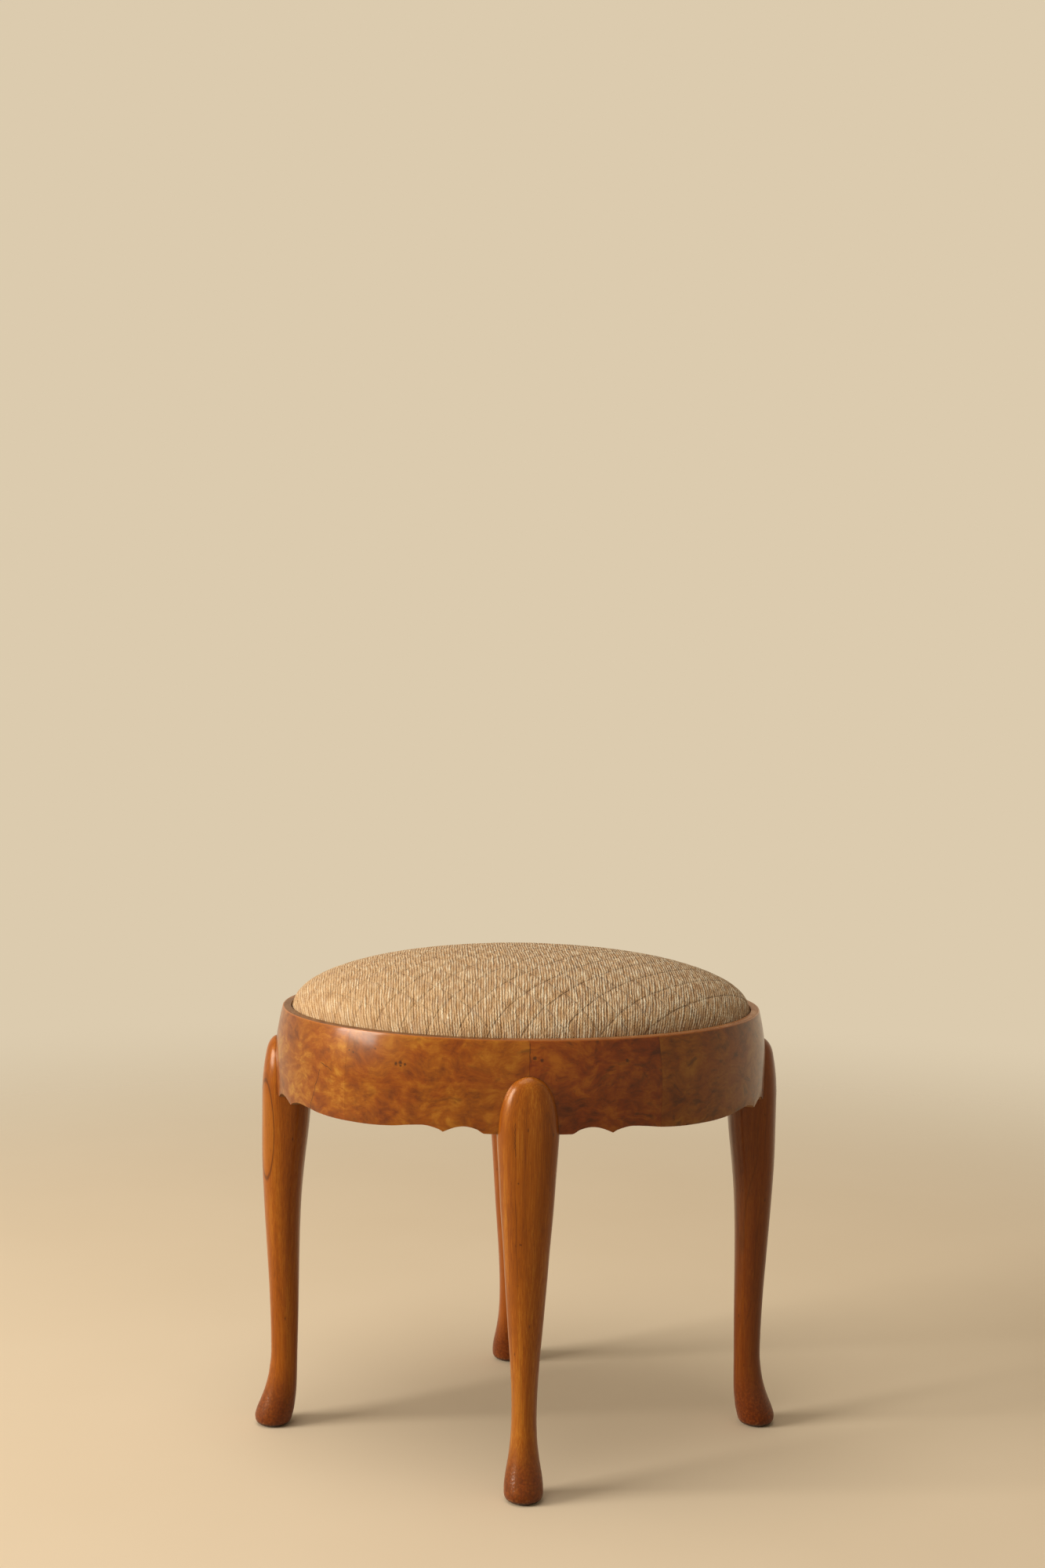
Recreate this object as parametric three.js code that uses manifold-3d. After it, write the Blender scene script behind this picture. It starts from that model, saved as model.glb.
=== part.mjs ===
// Oval drum stool with a drop-in seat.
// Millimetres, +Z up, origin on the floor at the middle of the oval, long axis along X, front towards -Y.

import * as THREE from "three";
import { mergeVertices } from "three/addons/utils/BufferGeometryUtils.js";
import Module from "manifold-3d";

const wasm = await Module();
wasm.setup();

// Driving dimensions of the frieze
const FRIEZE_HALF_LENGTH = 247; // outer face, along X
const FRIEZE_HALF_DEPTH = 199.5; // outer face, along Y
const RIM_HEIGHT = 433; // floor to the top of the rim
const FRIEZE_DEPTH = 87.5; // rim down to the frieze's lower edge beside a leg
const RIM_INSET = 7; // how far the top of the face rounds in
const ROUND_DEPTH = 45; // height over which it rounds in
const FACE_ROUNDING = 1.6; // exponent of that curve
const FACE_BATTER = 0.7; // how far the face draws in at its lower edge
const RAIL_THICKNESS = 26; // face to back
const VENEER_THICKNESS = 1;
const LIPPING_THICKNESS = 4;
const LIPPING_ARRIS = 0.6; // softened edges of the rim
const RING_WIDTH = 8.2; // flat ring that shows round the seat
const SEAT_LEDGE_DEPTH = 24; // rim down to the rebate that carries the seat

// Scalloped lower edge, distances along the oval from the middle of a leg
const SCALLOP_FLAT = 39.4; // straight edge beside the leg ends
const SCALLOP_CUSP = 80.4; // point of the cusp
const SCALLOP_RISE = 6.2; // height of the hollow between them
const SHOULDER_RISE = 5.2; // height of the hollow beyond the cusp

// Legs: a face is measured outwards from the frieze's face, a back inwards
const KNEE_HEIGHT = 54.2; // the knee's tip above the frieze's lower edge
const KNEE_WIDTH = 57.4;
const KNEE_FACE = 13.3;
const CHEEK_THICKNESS = 10; // the part of the leg behind the rail
const CHEEK_BELOW_LEDGE = 8; // it stops short of the seat
const ANKLE_HEIGHT = 75;
const ANKLE_WIDTH = 23.8;
const ANKLE_FACE = 3;
const ANKLE_BACK = 23.7;
const FOOT_HEIGHT = 9; // where the foot is widest
const FOOT_WIDTH = 37;
const FOOT_FACE = 18.9;
const FOOT_BACK = 19;
const SOLE_WIDTH = 26;
const SOLE_FACE = 13.5;
const SOLE_BACK = 12.5;
const KNEE_SQUARENESS = 2.6; // exponent of the knee's rounded section
const SHAFT_SQUARENESS = 2; // a plain oval section

// Screws that hold a leg to the rail ends
const SCREW_HEAD_WIDTH = 8.4;
const SCREW_HEAD_DEPTH = 2.6;
const SCREW_SHANK_WIDTH = 4.5;
const SCREW_TIP_LENGTH = 6;
const SCREW_TIP_WIDTH = 2.2;
const SCREW_BITE = 20; // depth into the rail
const SCREW_SPACING = 24; // across the leg
const SCREW_RISE = 28.5; // above the frieze's lower edge
const SCREW_SINK = 0.8; // head below the wood

// Drop-in seat
const SEAT_CLEARANCE = 1; // cloth to rim, all round
const SEAT_RAIL_WIDTH = 45;
const SEAT_RAIL_THICKNESS = 18;
const SEAT_LAP = 32; // length of the half-laps that join the seat rails
const COVER_THICKNESS = 1.5;
const COVER_TURN_UNDER = 30;
const CROWN_HEIGHT = 58; // seat edge to the top of the dome
const WADDING_THICKNESS = 6;
const WEBBING_WIDTH = 50;
const WEBBING_THICKNESS = 1.2;
const WEBBING_MARGIN = 4; // strap end to the edge of the hessian
const STRAP_RAMP = 8; // length over which a strap climbs over another
const HESSIAN_THICKNESS = 0.8;
const HESSIAN_MARGIN = 3; // its edge to the wadding that wraps it
const DUST_COVER_THICKNESS = 1;
const DUST_COVER_MARGIN = 2; // its edge to the back of the rails

// Gaps between pieces that touch
const SEAM = 0.3;
const OVERRUN = 5; // how far every cutter passes through what it cuts

// Outlines read off the stool, as shares of the sizes that they follow
// [share of the way from the cusp to the middle of the rail, share of the shoulder's rise]
const SHOULDER_SHARES = [[0, 0], [0.1, 0.7], [0.2, 1], [0.34, 0.8], [0.56, 0.28], [0.84, 0.02], [1, 0]];
// [share of the knee's height from its tip, share of its half width, share of its face]
const KNEE_SHARES = [
  [0, 0.15, 0.12], [0.04, 0.34, 0.28], [0.1, 0.52, 0.44], [0.2, 0.68, 0.64],
  [0.34, 0.8, 0.77], [0.52, 0.9, 0.86], [0.76, 0.965, 0.96],
];
// [share of the way from ankle to knee, shares of the change of width, face and back]
const SHAFT_SHARES = [
  [0.1, 0.03, 0.05, 0.04], [0.26, 0.2, 0.22, 0.08], [0.46, 0.44, 0.57, 0.13],
  [0.65, 0.66, 0.86, 0.31], [0.83, 0.87, 1, 0.74],
];
// [share of the way from foot to ankle, shares of the change of width, face and back]
const FOOT_SHARES = [
  [0.2, 0.14, 0.26, 0.5], [0.4, 0.51, 0.58, 0.84], [0.6, 0.79, 0.81, 0.94], [0.78, 0.92, 0.93, 0.98],
];
// [share of the way from sole to foot, share of the change of width, face and back]
const SOLE_SHARES = [[0.3, 0.62]];
// joints round the oval, as quarters of it from the right-hand leg towards the back one
const LIPPING_JOINT_SHARES = [-0.08, 0.92, 1.92, 2.92];
const VENEER_JOINT_SHARES = [0, 0.5, 1, 1.5, 2, 2.476, 3, 3.37];
// places across the hollow where the swept frieze has a section
const HOLLOW_SHARES = [0.2, 0.4, 0.6, 0.8];

// straps across the seat, as shares of the half width of the webbed opening
const LONG_STRAP_SHARES = [-0.44, 0, 0.44];
const CROSS_STRAP_SHARES = [-0.583, -0.194, 0.194, 0.583];

// How finely curves are faceted
const AROUND_LEG = 16;
const AROUND_SEAT = 48;
const AROUND_SCREW = 10;
const ROUNDING_LEVELS = 4;
const CROWN_RINGS = 8;
const INNER_CROWN_RINGS = 6;
const RING_CROWDING = 0.85; // below 1 the rings stand closer at the edge of the dome

const FRIEZE_BOTTOM = RIM_HEIGHT - FRIEZE_DEPTH;
const KNEE_TOP = FRIEZE_BOTTOM + KNEE_HEIGHT;
const KNEE_BACK = RAIL_THICKNESS + CHEEK_THICKNESS;
const SEAT_LEDGE = RIM_HEIGHT - SEAT_LEDGE_DEPTH;
const LIP_INSET = RIM_INSET + RING_WIDTH;
const RAIL_TOP = RIM_HEIGHT - LIPPING_THICKNESS - SEAM;
const RAIL_FACE = VENEER_THICKNESS + SEAM;
const ARRIS_HEIGHT = RIM_HEIGHT - LIPPING_ARRIS;

// Materials
const finish = (color, roughness) => new THREE.MeshStandardMaterial({ color, roughness, metalness: 0 });
const WALNUT = () => finish(0x9a5212, 0.35);
const BURR_WALNUT = () => finish(0x9c4e0c, 0.28);
const BEECH = () => finish(0xc9a06a, 0.7);
const STEEL = () => new THREE.MeshStandardMaterial({ color: 0x8c8478, roughness: 0.4, metalness: 1 });
const COVER_CLOTH = () => finish(0xc8b186, 0.9);
const WADDING = () => finish(0xe8e2d2, 1);
const STUFFING = () => finish(0x7a6248, 1);
const JUTE = () => finish(0xa98a55, 0.95);
const CAMBRIC = () => finish(0x2a2724, 0.95);

const stool = new THREE.Group();
stool.name = "oval_drum_stool";

function addPiece(name, geometry, material) {
  const mesh = new THREE.Mesh(geometry, material);
  mesh.name = name;
  stool.add(mesh);
  return mesh;
}

// Solids and cuts

function signedVolume(points, faces) {
  let six = 0;
  for (const [a, b, c] of faces) six += points[a].dot(new THREE.Vector3().crossVectors(points[b], points[c]));
  return six;
}

// A closed solid through rings that have the same number of points, its two ends capped flat.
function loft(rings, capOutline) {
  const count = rings[0].length;
  const points = rings.flat();
  // in rising order, each triangle of the cap turns the way the ring does
  const cap = THREE.ShapeUtils.triangulateShape(capOutline, []).map((face) => face.toSorted((p, q) => p - q));
  const faces = [];
  for (let ring = 0; ring < rings.length - 1; ring++) {
    for (let i = 0; i < count; i++) {
      const a = ring * count + i;
      const b = ring * count + ((i + 1) % count);
      faces.push([a, b, b + count], [a, b + count, a + count]);
    }
  }
  const last = (rings.length - 1) * count;
  for (const [a, b, c] of cap) {
    faces.push([c, b, a], [last + a, last + b, last + c]);
  }
  const sideVolume = signedVolume(points, faces);
  const facing = faces.map(([a, b, c]) => (sideVolume < 0 ? [a, c, b] : [a, b, c]));
  const geometry = new THREE.BufferGeometry().setFromPoints(points);
  geometry.setIndex(facing.flat());
  return geometry;
}

function toManifold(geometry) {
  const bare = geometry.clone();
  bare.deleteAttribute("normal");
  bare.deleteAttribute("uv");
  const merged = mergeVertices(bare);
  return new wasm.Manifold(new wasm.Mesh({
    numProp: 3,
    vertProperties: merged.getAttribute("position").array,
    triVerts: new Uint32Array(merged.index.array),
  }));
}

function toGeometry(solid) {
  const { vertProperties, triVerts } = solid.getMesh();
  const geometry = new THREE.BufferGeometry();
  geometry.setAttribute("position", new THREE.BufferAttribute(vertProperties, 3));
  geometry.setIndex(new THREE.BufferAttribute(triVerts, 1));
  return geometry;
}

function cut(geometry, cutters) {
  let solid = toManifold(geometry);
  for (const cutter of cutters) solid = solid.subtract(toManifold(cutter));
  return toGeometry(solid);
}

// The oval, measured along its face from the right-hand leg

const oval = new THREE.EllipseCurve(0, 0, FRIEZE_HALF_LENGTH, FRIEZE_HALF_DEPTH);
oval.arcLengthDivisions = 4000;
const QUARTER = oval.getLength() / 4;

function angleAt(distance) {
  const share = distance / (4 * QUARTER);
  const turns = Math.floor(share);
  return 2 * Math.PI * (turns + oval.getUtoTmapping(share - turns));
}

function onOval(angle, inset, height) {
  return new THREE.Vector3(
    (FRIEZE_HALF_LENGTH - inset) * Math.cos(angle),
    (FRIEZE_HALF_DEPTH - inset) * Math.sin(angle),
    height,
  );
}

function distanceFromLeg(distance) {
  const along = ((distance % QUARTER) + QUARTER) % QUARTER;
  return Math.min(along, QUARTER - along);
}

// How far the frieze's face stands inside the oval at a height.
function faceInset(height) {
  const springing = RIM_HEIGHT - ROUND_DEPTH;
  if (height > springing) return RIM_INSET * ((height - springing) / ROUND_DEPTH) ** FACE_ROUNDING;
  return FACE_BATTER * ((springing - height) / (springing - FRIEZE_BOTTOM)) ** 2;
}

function between(from, to, share) {
  return from + (to - from) * share;
}

function shoulderShare(along) {
  const next = Math.max(1, SHOULDER_SHARES.findIndex(([place]) => place >= along));
  const [[fromPlace, fromRise], [toPlace, toRise]] = SHOULDER_SHARES.slice(next - 1, next + 1);
  return between(fromRise, toRise, (along - fromPlace) / (toPlace - fromPlace));
}

// Height of the scalloped edge at a distance along the oval.
function lowerEdge(distance) {
  const fromLeg = distanceFromLeg(distance);
  if (fromLeg <= SCALLOP_FLAT) return FRIEZE_BOTTOM;
  if (fromLeg <= SCALLOP_CUSP) {
    const across = (fromLeg - SCALLOP_FLAT) / (SCALLOP_CUSP - SCALLOP_FLAT);
    return FRIEZE_BOTTOM + SCALLOP_RISE * Math.sin(Math.PI * across);
  }
  const along = (fromLeg - SCALLOP_CUSP) / (QUARTER / 2 - SCALLOP_CUSP);
  return FRIEZE_BOTTOM + SHOULDER_RISE * shoulderShare(along);
}

// Where the swept pieces have a section: close together along the scallops, wide apart elsewhere.
function scallopColumns() {
  const hollow = SCALLOP_CUSP - SCALLOP_FLAT;
  const rest = QUARTER / 2 - SCALLOP_CUSP;
  return [
    0, SCALLOP_FLAT / 2, SCALLOP_FLAT,
    ...HOLLOW_SHARES.map((share) => SCALLOP_FLAT + share * hollow),
    ...SHOULDER_SHARES.slice(0, -1).map(([share]) => SCALLOP_CUSP + share * rest),
  ];
}

const FROM_LEG = scallopColumns();
const ROUND_OVAL = [0, 1, 2, 3, 4].flatMap((leg) => [
  ...FROM_LEG.map((distance) => leg * QUARTER - distance).reverse(),
  ...FROM_LEG.slice(1).map((distance) => leg * QUARTER + distance),
]);

// Column places between two joints, less half a seam at each.
function columnsBetween(start, end, places) {
  const from = start + SEAM / 2;
  const to = end - SEAM / 2;
  return [from, ...places.filter((place) => place > from + SEAM && place < to - SEAM), to];
}

// Sweeps a section, given as [inset, height] pairs at each distance, along the oval.
function sweep(distances, sectionAt) {
  const rings = distances.map((distance) => {
    const angle = angleAt(distance);
    return sectionAt(distance).map(([inset, height]) => onOval(angle, inset, height));
  });
  const outline = sectionAt(distances[0]).map(([inset, height]) => new THREE.Vector2(inset, height));
  return loft(rings, outline);
}

// Frieze: rails, veneer and lipping

const roundingHeights = Array.from(
  { length: ROUNDING_LEVELS },
  (_, i) => RIM_HEIGHT - ROUND_DEPTH + ((RAIL_TOP - RIM_HEIGHT + ROUND_DEPTH) * i) / (ROUNDING_LEVELS - 1),
);

function railSection(distance) {
  const heights = [lowerEdge(distance), ...roundingHeights];
  return [
    ...heights.map((height) => [faceInset(height) + RAIL_FACE, height]),
    [LIP_INSET, RAIL_TOP],
    [LIP_INSET, SEAT_LEDGE],
    [RAIL_THICKNESS, SEAT_LEDGE],
    [RAIL_THICKNESS, lowerEdge(distance)],
  ];
}

// The veneer runs up past the rail, so that the lipping lies behind it.
function veneerSection(distance) {
  const heights = [lowerEdge(distance), ...roundingHeights, ARRIS_HEIGHT];
  return [
    ...heights.map((height) => [faceInset(height), height]),
    ...heights.map((height) => [faceInset(height) + VENEER_THICKNESS, height]).reverse(),
  ];
}

function lippingSection() {
  const bottom = RIM_HEIGHT - LIPPING_THICKNESS;
  return [
    [faceInset(bottom) + RAIL_FACE, bottom],
    [faceInset(ARRIS_HEIGHT) + RAIL_FACE, ARRIS_HEIGHT],
    [faceInset(ARRIS_HEIGHT) + RAIL_FACE + LIPPING_ARRIS, RIM_HEIGHT],
    [LIP_INSET - LIPPING_ARRIS, RIM_HEIGHT],
    [LIP_INSET, ARRIS_HEIGHT],
    [LIP_INSET, bottom],
  ];
}

// Legs

function station(height, halfWidth, face, back) {
  return { height, halfWidth, face, back };
}

function stationsBetween(from, to, shares) {
  return shares.map(([rise, width, face = width, back = width]) => station(
    between(from.height, to.height, rise),
    between(from.halfWidth, to.halfWidth, width),
    between(from.face, to.face, face),
    between(from.back, to.back, back),
  ));
}

const SOLE = station(0, SOLE_WIDTH / 2, SOLE_FACE, SOLE_BACK);
const FOOT = station(FOOT_HEIGHT, FOOT_WIDTH / 2, FOOT_FACE, FOOT_BACK);
const ANKLE = station(ANKLE_HEIGHT, ANKLE_WIDTH / 2, ANKLE_FACE, ANKLE_BACK);
const KNEE = station(FRIEZE_BOTTOM, KNEE_WIDTH / 2, KNEE_FACE, KNEE_BACK);

// The knee stands out from the frieze's face, also where that rounds in.
function kneeStations() {
  return KNEE_SHARES.map(([down, width, face]) => {
    const height = between(KNEE_TOP, FRIEZE_BOTTOM, down);
    return station(height, KNEE.halfWidth * width, KNEE_FACE * face - faceInset(height), KNEE_BACK);
  }).reverse();
}

const LEG_STATIONS = [
  SOLE,
  ...stationsBetween(SOLE, FOOT, SOLE_SHARES),
  FOOT,
  ...stationsBetween(FOOT, ANKLE, FOOT_SHARES),
  ANKLE,
  ...stationsBetween(ANKLE, KNEE, SHAFT_SHARES),
  KNEE,
  ...kneeStations(),
];

function squareness(height) {
  const share = Math.min(1, Math.max(0, (height - ANKLE_HEIGHT) / (FRIEZE_BOTTOM - ANKLE_HEIGHT)));
  return between(SHAFT_SQUARENESS, KNEE_SQUARENESS, share ** 2);
}

function rounded(value, exponent) {
  return Math.sign(value) * Math.abs(value) ** (2 / exponent);
}

// A leg stands with its face towards +X, x measured from the frieze's face.
function legRing({ height, halfWidth, face, back }) {
  const middle = (face - back) / 2;
  const halfDepth = (face + back) / 2;
  const exponent = squareness(height);
  return Array.from({ length: AROUND_LEG }, (_, i) => {
    const turn = (2 * Math.PI * i) / AROUND_LEG;
    return new THREE.Vector3(
      middle + halfDepth * rounded(Math.cos(turn), exponent),
      halfWidth * rounded(Math.sin(turn), exponent),
      height,
    );
  });
}

// How far inside the frieze's face the back of a leg lies, beside its middle line.
function legBackAt(height, aside) {
  const next = LEG_STATIONS.findIndex((one) => one.height >= height);
  const [low, high] = [LEG_STATIONS[next - 1], LEG_STATIONS[next]];
  const share = (height - low.height) / (high.height - low.height);
  const halfWidth = between(low.halfWidth, high.halfWidth, share);
  const face = between(low.face, high.face, share);
  const back = between(low.back, high.back, share);
  const exponent = squareness(height);
  const reach = (1 - Math.min(1, aside / halfWidth) ** exponent) ** (1 / exponent);
  return (back - face) / 2 + ((face + back) / 2) * reach;
}

const LEG_SIDES = ["right", "back", "left", "front"];

// Turns a shape drawn about the right-hand leg to another leg's place.
function placeAtLeg(geometry, leg) {
  const reach = leg % 2 === 0 ? FRIEZE_HALF_LENGTH : FRIEZE_HALF_DEPTH;
  return geometry.translate(reach, 0, 0).rotateZ((leg * Math.PI) / 2);
}

// What the frieze takes out of a leg: the slot for the rail, and the room above for the seat.
function legSlot(leg) {
  const reach = KNEE_WIDTH / 2 + OVERRUN;
  const middle = leg * QUARTER;
  const places = FROM_LEG.filter((distance) => distance < reach);
  const distances = [
    middle - reach,
    ...places.map((distance) => middle - distance).reverse(),
    ...places.slice(1).map((distance) => middle + distance),
    middle + reach,
  ];
  const heights = [FRIEZE_BOTTOM, ...roundingHeights];
  const floor = FRIEZE_BOTTOM - SEAM;
  const cheekTop = SEAT_LEDGE - CHEEK_BELOW_LEDGE;
  const section = [
    [faceInset(FRIEZE_BOTTOM) - SEAM, floor],
    ...heights.slice(1).map((height) => [faceInset(height) - SEAM, height]),
    [KNEE_BACK + OVERRUN, RAIL_TOP],
    [KNEE_BACK + OVERRUN, cheekTop],
    [RAIL_THICKNESS + SEAM, cheekTop],
    [RAIL_THICKNESS + SEAM, floor],
  ];
  return sweep(distances, () => section);
}

// Screws: turned about Y with the head up, then laid to point out of the stool

const SCREW_HEIGHT = FRIEZE_BOTTOM + SCREW_RISE;
const SCREW_HEAD_INSET = legBackAt(SCREW_HEIGHT, SCREW_SPACING / 2) - SCREW_SINK;
const SCREW_LENGTH = SCREW_HEAD_INSET - RAIL_THICKNESS + SCREW_BITE;

function turnedAtLeg(profile, leg, side) {
  const points = profile.map(([radius, height]) => new THREE.Vector2(radius, height));
  const turned = new THREE.LatheGeometry(points, AROUND_SCREW).rotateZ(Math.PI / 2);
  return placeAtLeg(turned.translate(-SCREW_HEAD_INSET, (side * SCREW_SPACING) / 2, SCREW_HEIGHT), leg);
}

function screw(leg, side) {
  return turnedAtLeg([
    [0, -SCREW_LENGTH],
    [SCREW_TIP_WIDTH / 2, -SCREW_LENGTH],
    [SCREW_SHANK_WIDTH / 2, SCREW_TIP_LENGTH - SCREW_LENGTH],
    [SCREW_SHANK_WIDTH / 2, -SCREW_HEAD_DEPTH],
    [SCREW_HEAD_WIDTH / 2, 0],
    [0, 0],
  ], leg, side);
}

function screwHole(leg, side) {
  const shank = SCREW_SHANK_WIDTH / 2 + SEAM;
  const head = SCREW_HEAD_WIDTH / 2 + SEAM;
  return turnedAtLeg([
    [0, -SCREW_LENGTH - SEAM],
    [shank, -SCREW_LENGTH - SEAM],
    [shank, -SCREW_HEAD_DEPTH],
    [head, 0],
    [head, SCREW_SINK + OVERRUN],
    [0, SCREW_SINK + OVERRUN],
  ], leg, side);
}

LEG_SIDES.forEach((side, leg) => {
  const rings = LEG_STATIONS.map(legRing);
  const outline = rings[0].map((point) => new THREE.Vector2(point.x, point.y));
  const body = placeAtLeg(loft(rings, outline), leg);
  addPiece(`leg_${side}`, cut(body, [legSlot(leg), screwHole(leg, -1), screwHole(leg, 1)]), WALNUT());
  addPiece(`leg_screw_${side}_1`, screw(leg, -1), STEEL());
  addPiece(`leg_screw_${side}_2`, screw(leg, 1), STEEL());
});

// A rail takes a screw from the leg at each of its ends.
LEG_SIDES.forEach((side, leg) => {
  const next = (leg + 1) % LEG_SIDES.length;
  const rail = sweep(columnsBetween(leg * QUARTER, (leg + 1) * QUARTER, ROUND_OVAL), railSection);
  const holes = [screwHole(leg, 1), screwHole(next, -1)];
  addPiece(`frieze_rail_${side}_to_${LEG_SIDES[next]}`, cut(rail, holes), BEECH());
});

VENEER_JOINT_SHARES.forEach((start, leaf) => {
  const end = VENEER_JOINT_SHARES[leaf + 1] ?? VENEER_JOINT_SHARES[0] + LEG_SIDES.length;
  const distances = columnsBetween(start * QUARTER, end * QUARTER, ROUND_OVAL);
  addPiece(`burr_veneer_${leaf + 1}`, sweep(distances, veneerSection), BURR_WALNUT());
});

LIPPING_JOINT_SHARES.forEach((start, segment) => {
  const end = LIPPING_JOINT_SHARES[segment + 1] ?? LIPPING_JOINT_SHARES[0] + LEG_SIDES.length;
  const distances = columnsBetween(start * QUARTER, end * QUARTER, ROUND_OVAL);
  addPiece(`rim_lipping_${segment + 1}`, sweep(distances, lippingSection), WALNUT());
});

// Drop-in seat, from the rebate up

const COVER_INSET = LIP_INSET + SEAT_CLEARANCE;
const COVER_BOTTOM = SEAT_LEDGE + SEAM;
const SEAT_RAIL_INSET = COVER_INSET + COVER_THICKNESS + SEAM;
const SEAT_RAIL_BOTTOM = COVER_BOTTOM + COVER_THICKNESS + SEAM;
const SEAT_RAIL_TOP = SEAT_RAIL_BOTTOM + SEAT_RAIL_THICKNESS;
const CROWN_SPRINGING = SEAT_RAIL_TOP; // the dome springs where the cloth leaves the seat rails
const WEBBING_BOTTOM = SEAT_RAIL_TOP + SEAM;
const WEBBING_STEP = WEBBING_THICKNESS + SEAM;
const HESSIAN_BOTTOM = WEBBING_BOTTOM + WEBBING_STEP + WEBBING_THICKNESS + SEAM;
const PAD_BOTTOM = HESSIAN_BOTTOM + HESSIAN_THICKNESS + SEAM;
const WADDING_BOTTOM = WEBBING_BOTTOM;
const WADDING_DEPTH = COVER_THICKNESS + SEAM; // below the cushion's surface
const WADDING_INSIDE = WADDING_DEPTH + WADDING_THICKNESS;
const PAD_DEPTH = WADDING_INSIDE + SEAM;
const HESSIAN_INSET = COVER_INSET + WADDING_INSIDE + HESSIAN_MARGIN;
const WEBBING_INSET = HESSIAN_INSET + WEBBING_MARGIN;

// The seat's pieces share one set of facets, so a step may fall between two of its corners.
function onSeatFacet(step, inset, height) {
  const corner = Math.floor(step);
  const [here, next] = [corner, corner + 1].map((i) => (2 * Math.PI * i) / AROUND_SEAT);
  return onOval(here, inset, height).lerp(onOval(next, inset, height), step - corner);
}

function seatRing(inset, height) {
  return Array.from({ length: AROUND_SEAT }, (_, i) => onSeatFacet(i, inset, height));
}

function flatOutline(ring) {
  return ring.map((point) => new THREE.Vector2(point.x, point.y));
}

// Rings of a half ellipsoid that lies a depth inside the cushion's surface, from a height up.
function crownRings(depth, from, count) {
  const rise = CROWN_HEIGHT - depth;
  const halfLength = FRIEZE_HALF_LENGTH - COVER_INSET - depth;
  const halfDepth = FRIEZE_HALF_DEPTH - COVER_INSET - depth;
  const start = Math.asin((from - CROWN_SPRINGING) / rise);
  return Array.from({ length: count }, (_, ring) => {
    const climb = between(start, Math.PI / 2, (ring / count) ** RING_CROWDING);
    return Array.from({ length: AROUND_SEAT }, (_, i) => {
      const turn = (2 * Math.PI * i) / AROUND_SEAT;
      return new THREE.Vector3(
        halfLength * Math.cos(climb) * Math.cos(turn),
        halfDepth * Math.cos(climb) * Math.sin(turn),
        CROWN_SPRINGING + rise * Math.sin(climb),
      );
    });
  });
}

function seatSolid(rings) {
  return loft(rings, flatOutline(rings[0]));
}

// Four curved seat rails, half-lapped at the corners between the legs

const SEAT_RAIL_INSIDE = SEAT_RAIL_INSET + SEAT_RAIL_WIDTH;
const SEAT_RAIL_MIDDLE = SEAT_RAIL_BOTTOM + SEAT_RAIL_THICKNESS / 2;
const STEP_LENGTH = (4 * QUARTER) / AROUND_SEAT;

// A curved bar of rectangular section, between two places measured along the oval.
function seatBar(start, end, [outer, inner], [bottom, top]) {
  const from = start / STEP_LENGTH;
  const to = end / STEP_LENGTH;
  const steps = [from];
  for (let corner = Math.floor(from) + 1; corner < to; corner++) steps.push(corner);
  steps.push(to);
  const section = [[outer, bottom], [outer, top], [inner, top], [inner, bottom]];
  const rings = steps.map((step) => section.map(([inset, height]) => onSeatFacet(step, inset, height)));
  return loft(rings, section.map(([inset, height]) => new THREE.Vector2(inset, height)));
}

function lapCutter(start, end, heights) {
  return seatBar(start, end, [SEAT_RAIL_INSET - OVERRUN, SEAT_RAIL_INSIDE + OVERRUN], heights);
}

for (let rail = 0; rail < 4; rail++) {
  const start = (rail - 0.5) * QUARTER - SEAT_LAP / 2;
  const end = (rail + 0.5) * QUARTER + SEAT_LAP / 2;
  const bar = seatBar(start, end, [SEAT_RAIL_INSET, SEAT_RAIL_INSIDE], [SEAT_RAIL_BOTTOM, SEAT_RAIL_TOP]);
  const upperHalf = [SEAT_RAIL_MIDDLE - SEAM / 2, SEAT_RAIL_TOP + OVERRUN];
  const lowerHalf = [SEAT_RAIL_BOTTOM - OVERRUN, SEAT_RAIL_MIDDLE + SEAM / 2];
  const laps = [
    lapCutter(start - OVERRUN, start + SEAT_LAP + SEAM, upperHalf),
    lapCutter(end - SEAT_LAP - SEAM, end + OVERRUN, lowerHalf),
  ];
  addPiece(`seat_rail_${rail + 1}`, cut(bar, laps), BEECH());
}

// Webbing straps: each passes over one strap of the other set and under the next

const WEBBED_HALF_LENGTH = FRIEZE_HALF_LENGTH - WEBBING_INSET;
const WEBBED_HALF_DEPTH = FRIEZE_HALF_DEPTH - WEBBING_INSET;

// Half the length of a strap that lies a distance beside the middle of the webbed oval.
function strapReach(aside, alongHalf, acrossHalf) {
  const share = (Math.abs(aside) + WEBBING_WIDTH / 2) / acrossHalf;
  return alongHalf * Math.sqrt(1 - share ** 2);
}

// Side view of a strap that lies along x, as a band between two lines.
function strapGeometry(reach, crossings) {
  const half = WEBBING_WIDTH / 2 + SEAM;
  const overTop = WEBBING_BOTTOM + WEBBING_STEP;
  const line = [[-reach, WEBBING_BOTTOM]];
  for (const place of crossings) {
    line.push([place - half - STRAP_RAMP, WEBBING_BOTTOM], [place - half, overTop]);
    line.push([place + half, overTop], [place + half + STRAP_RAMP, WEBBING_BOTTOM]);
  }
  line.push([reach, WEBBING_BOTTOM]);
  const lower = line.map(([x, height]) => new THREE.Vector2(x, height));
  const upper = lower.map((point) => new THREE.Vector2(point.x, point.y + WEBBING_THICKNESS)).reverse();
  const band = new THREE.Shape([...lower, ...upper]);
  const geometry = new THREE.ExtrudeGeometry(band, { depth: WEBBING_WIDTH, bevelEnabled: false });
  return geometry.translate(0, 0, -WEBBING_WIDTH / 2).rotateX(Math.PI / 2);
}

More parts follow.
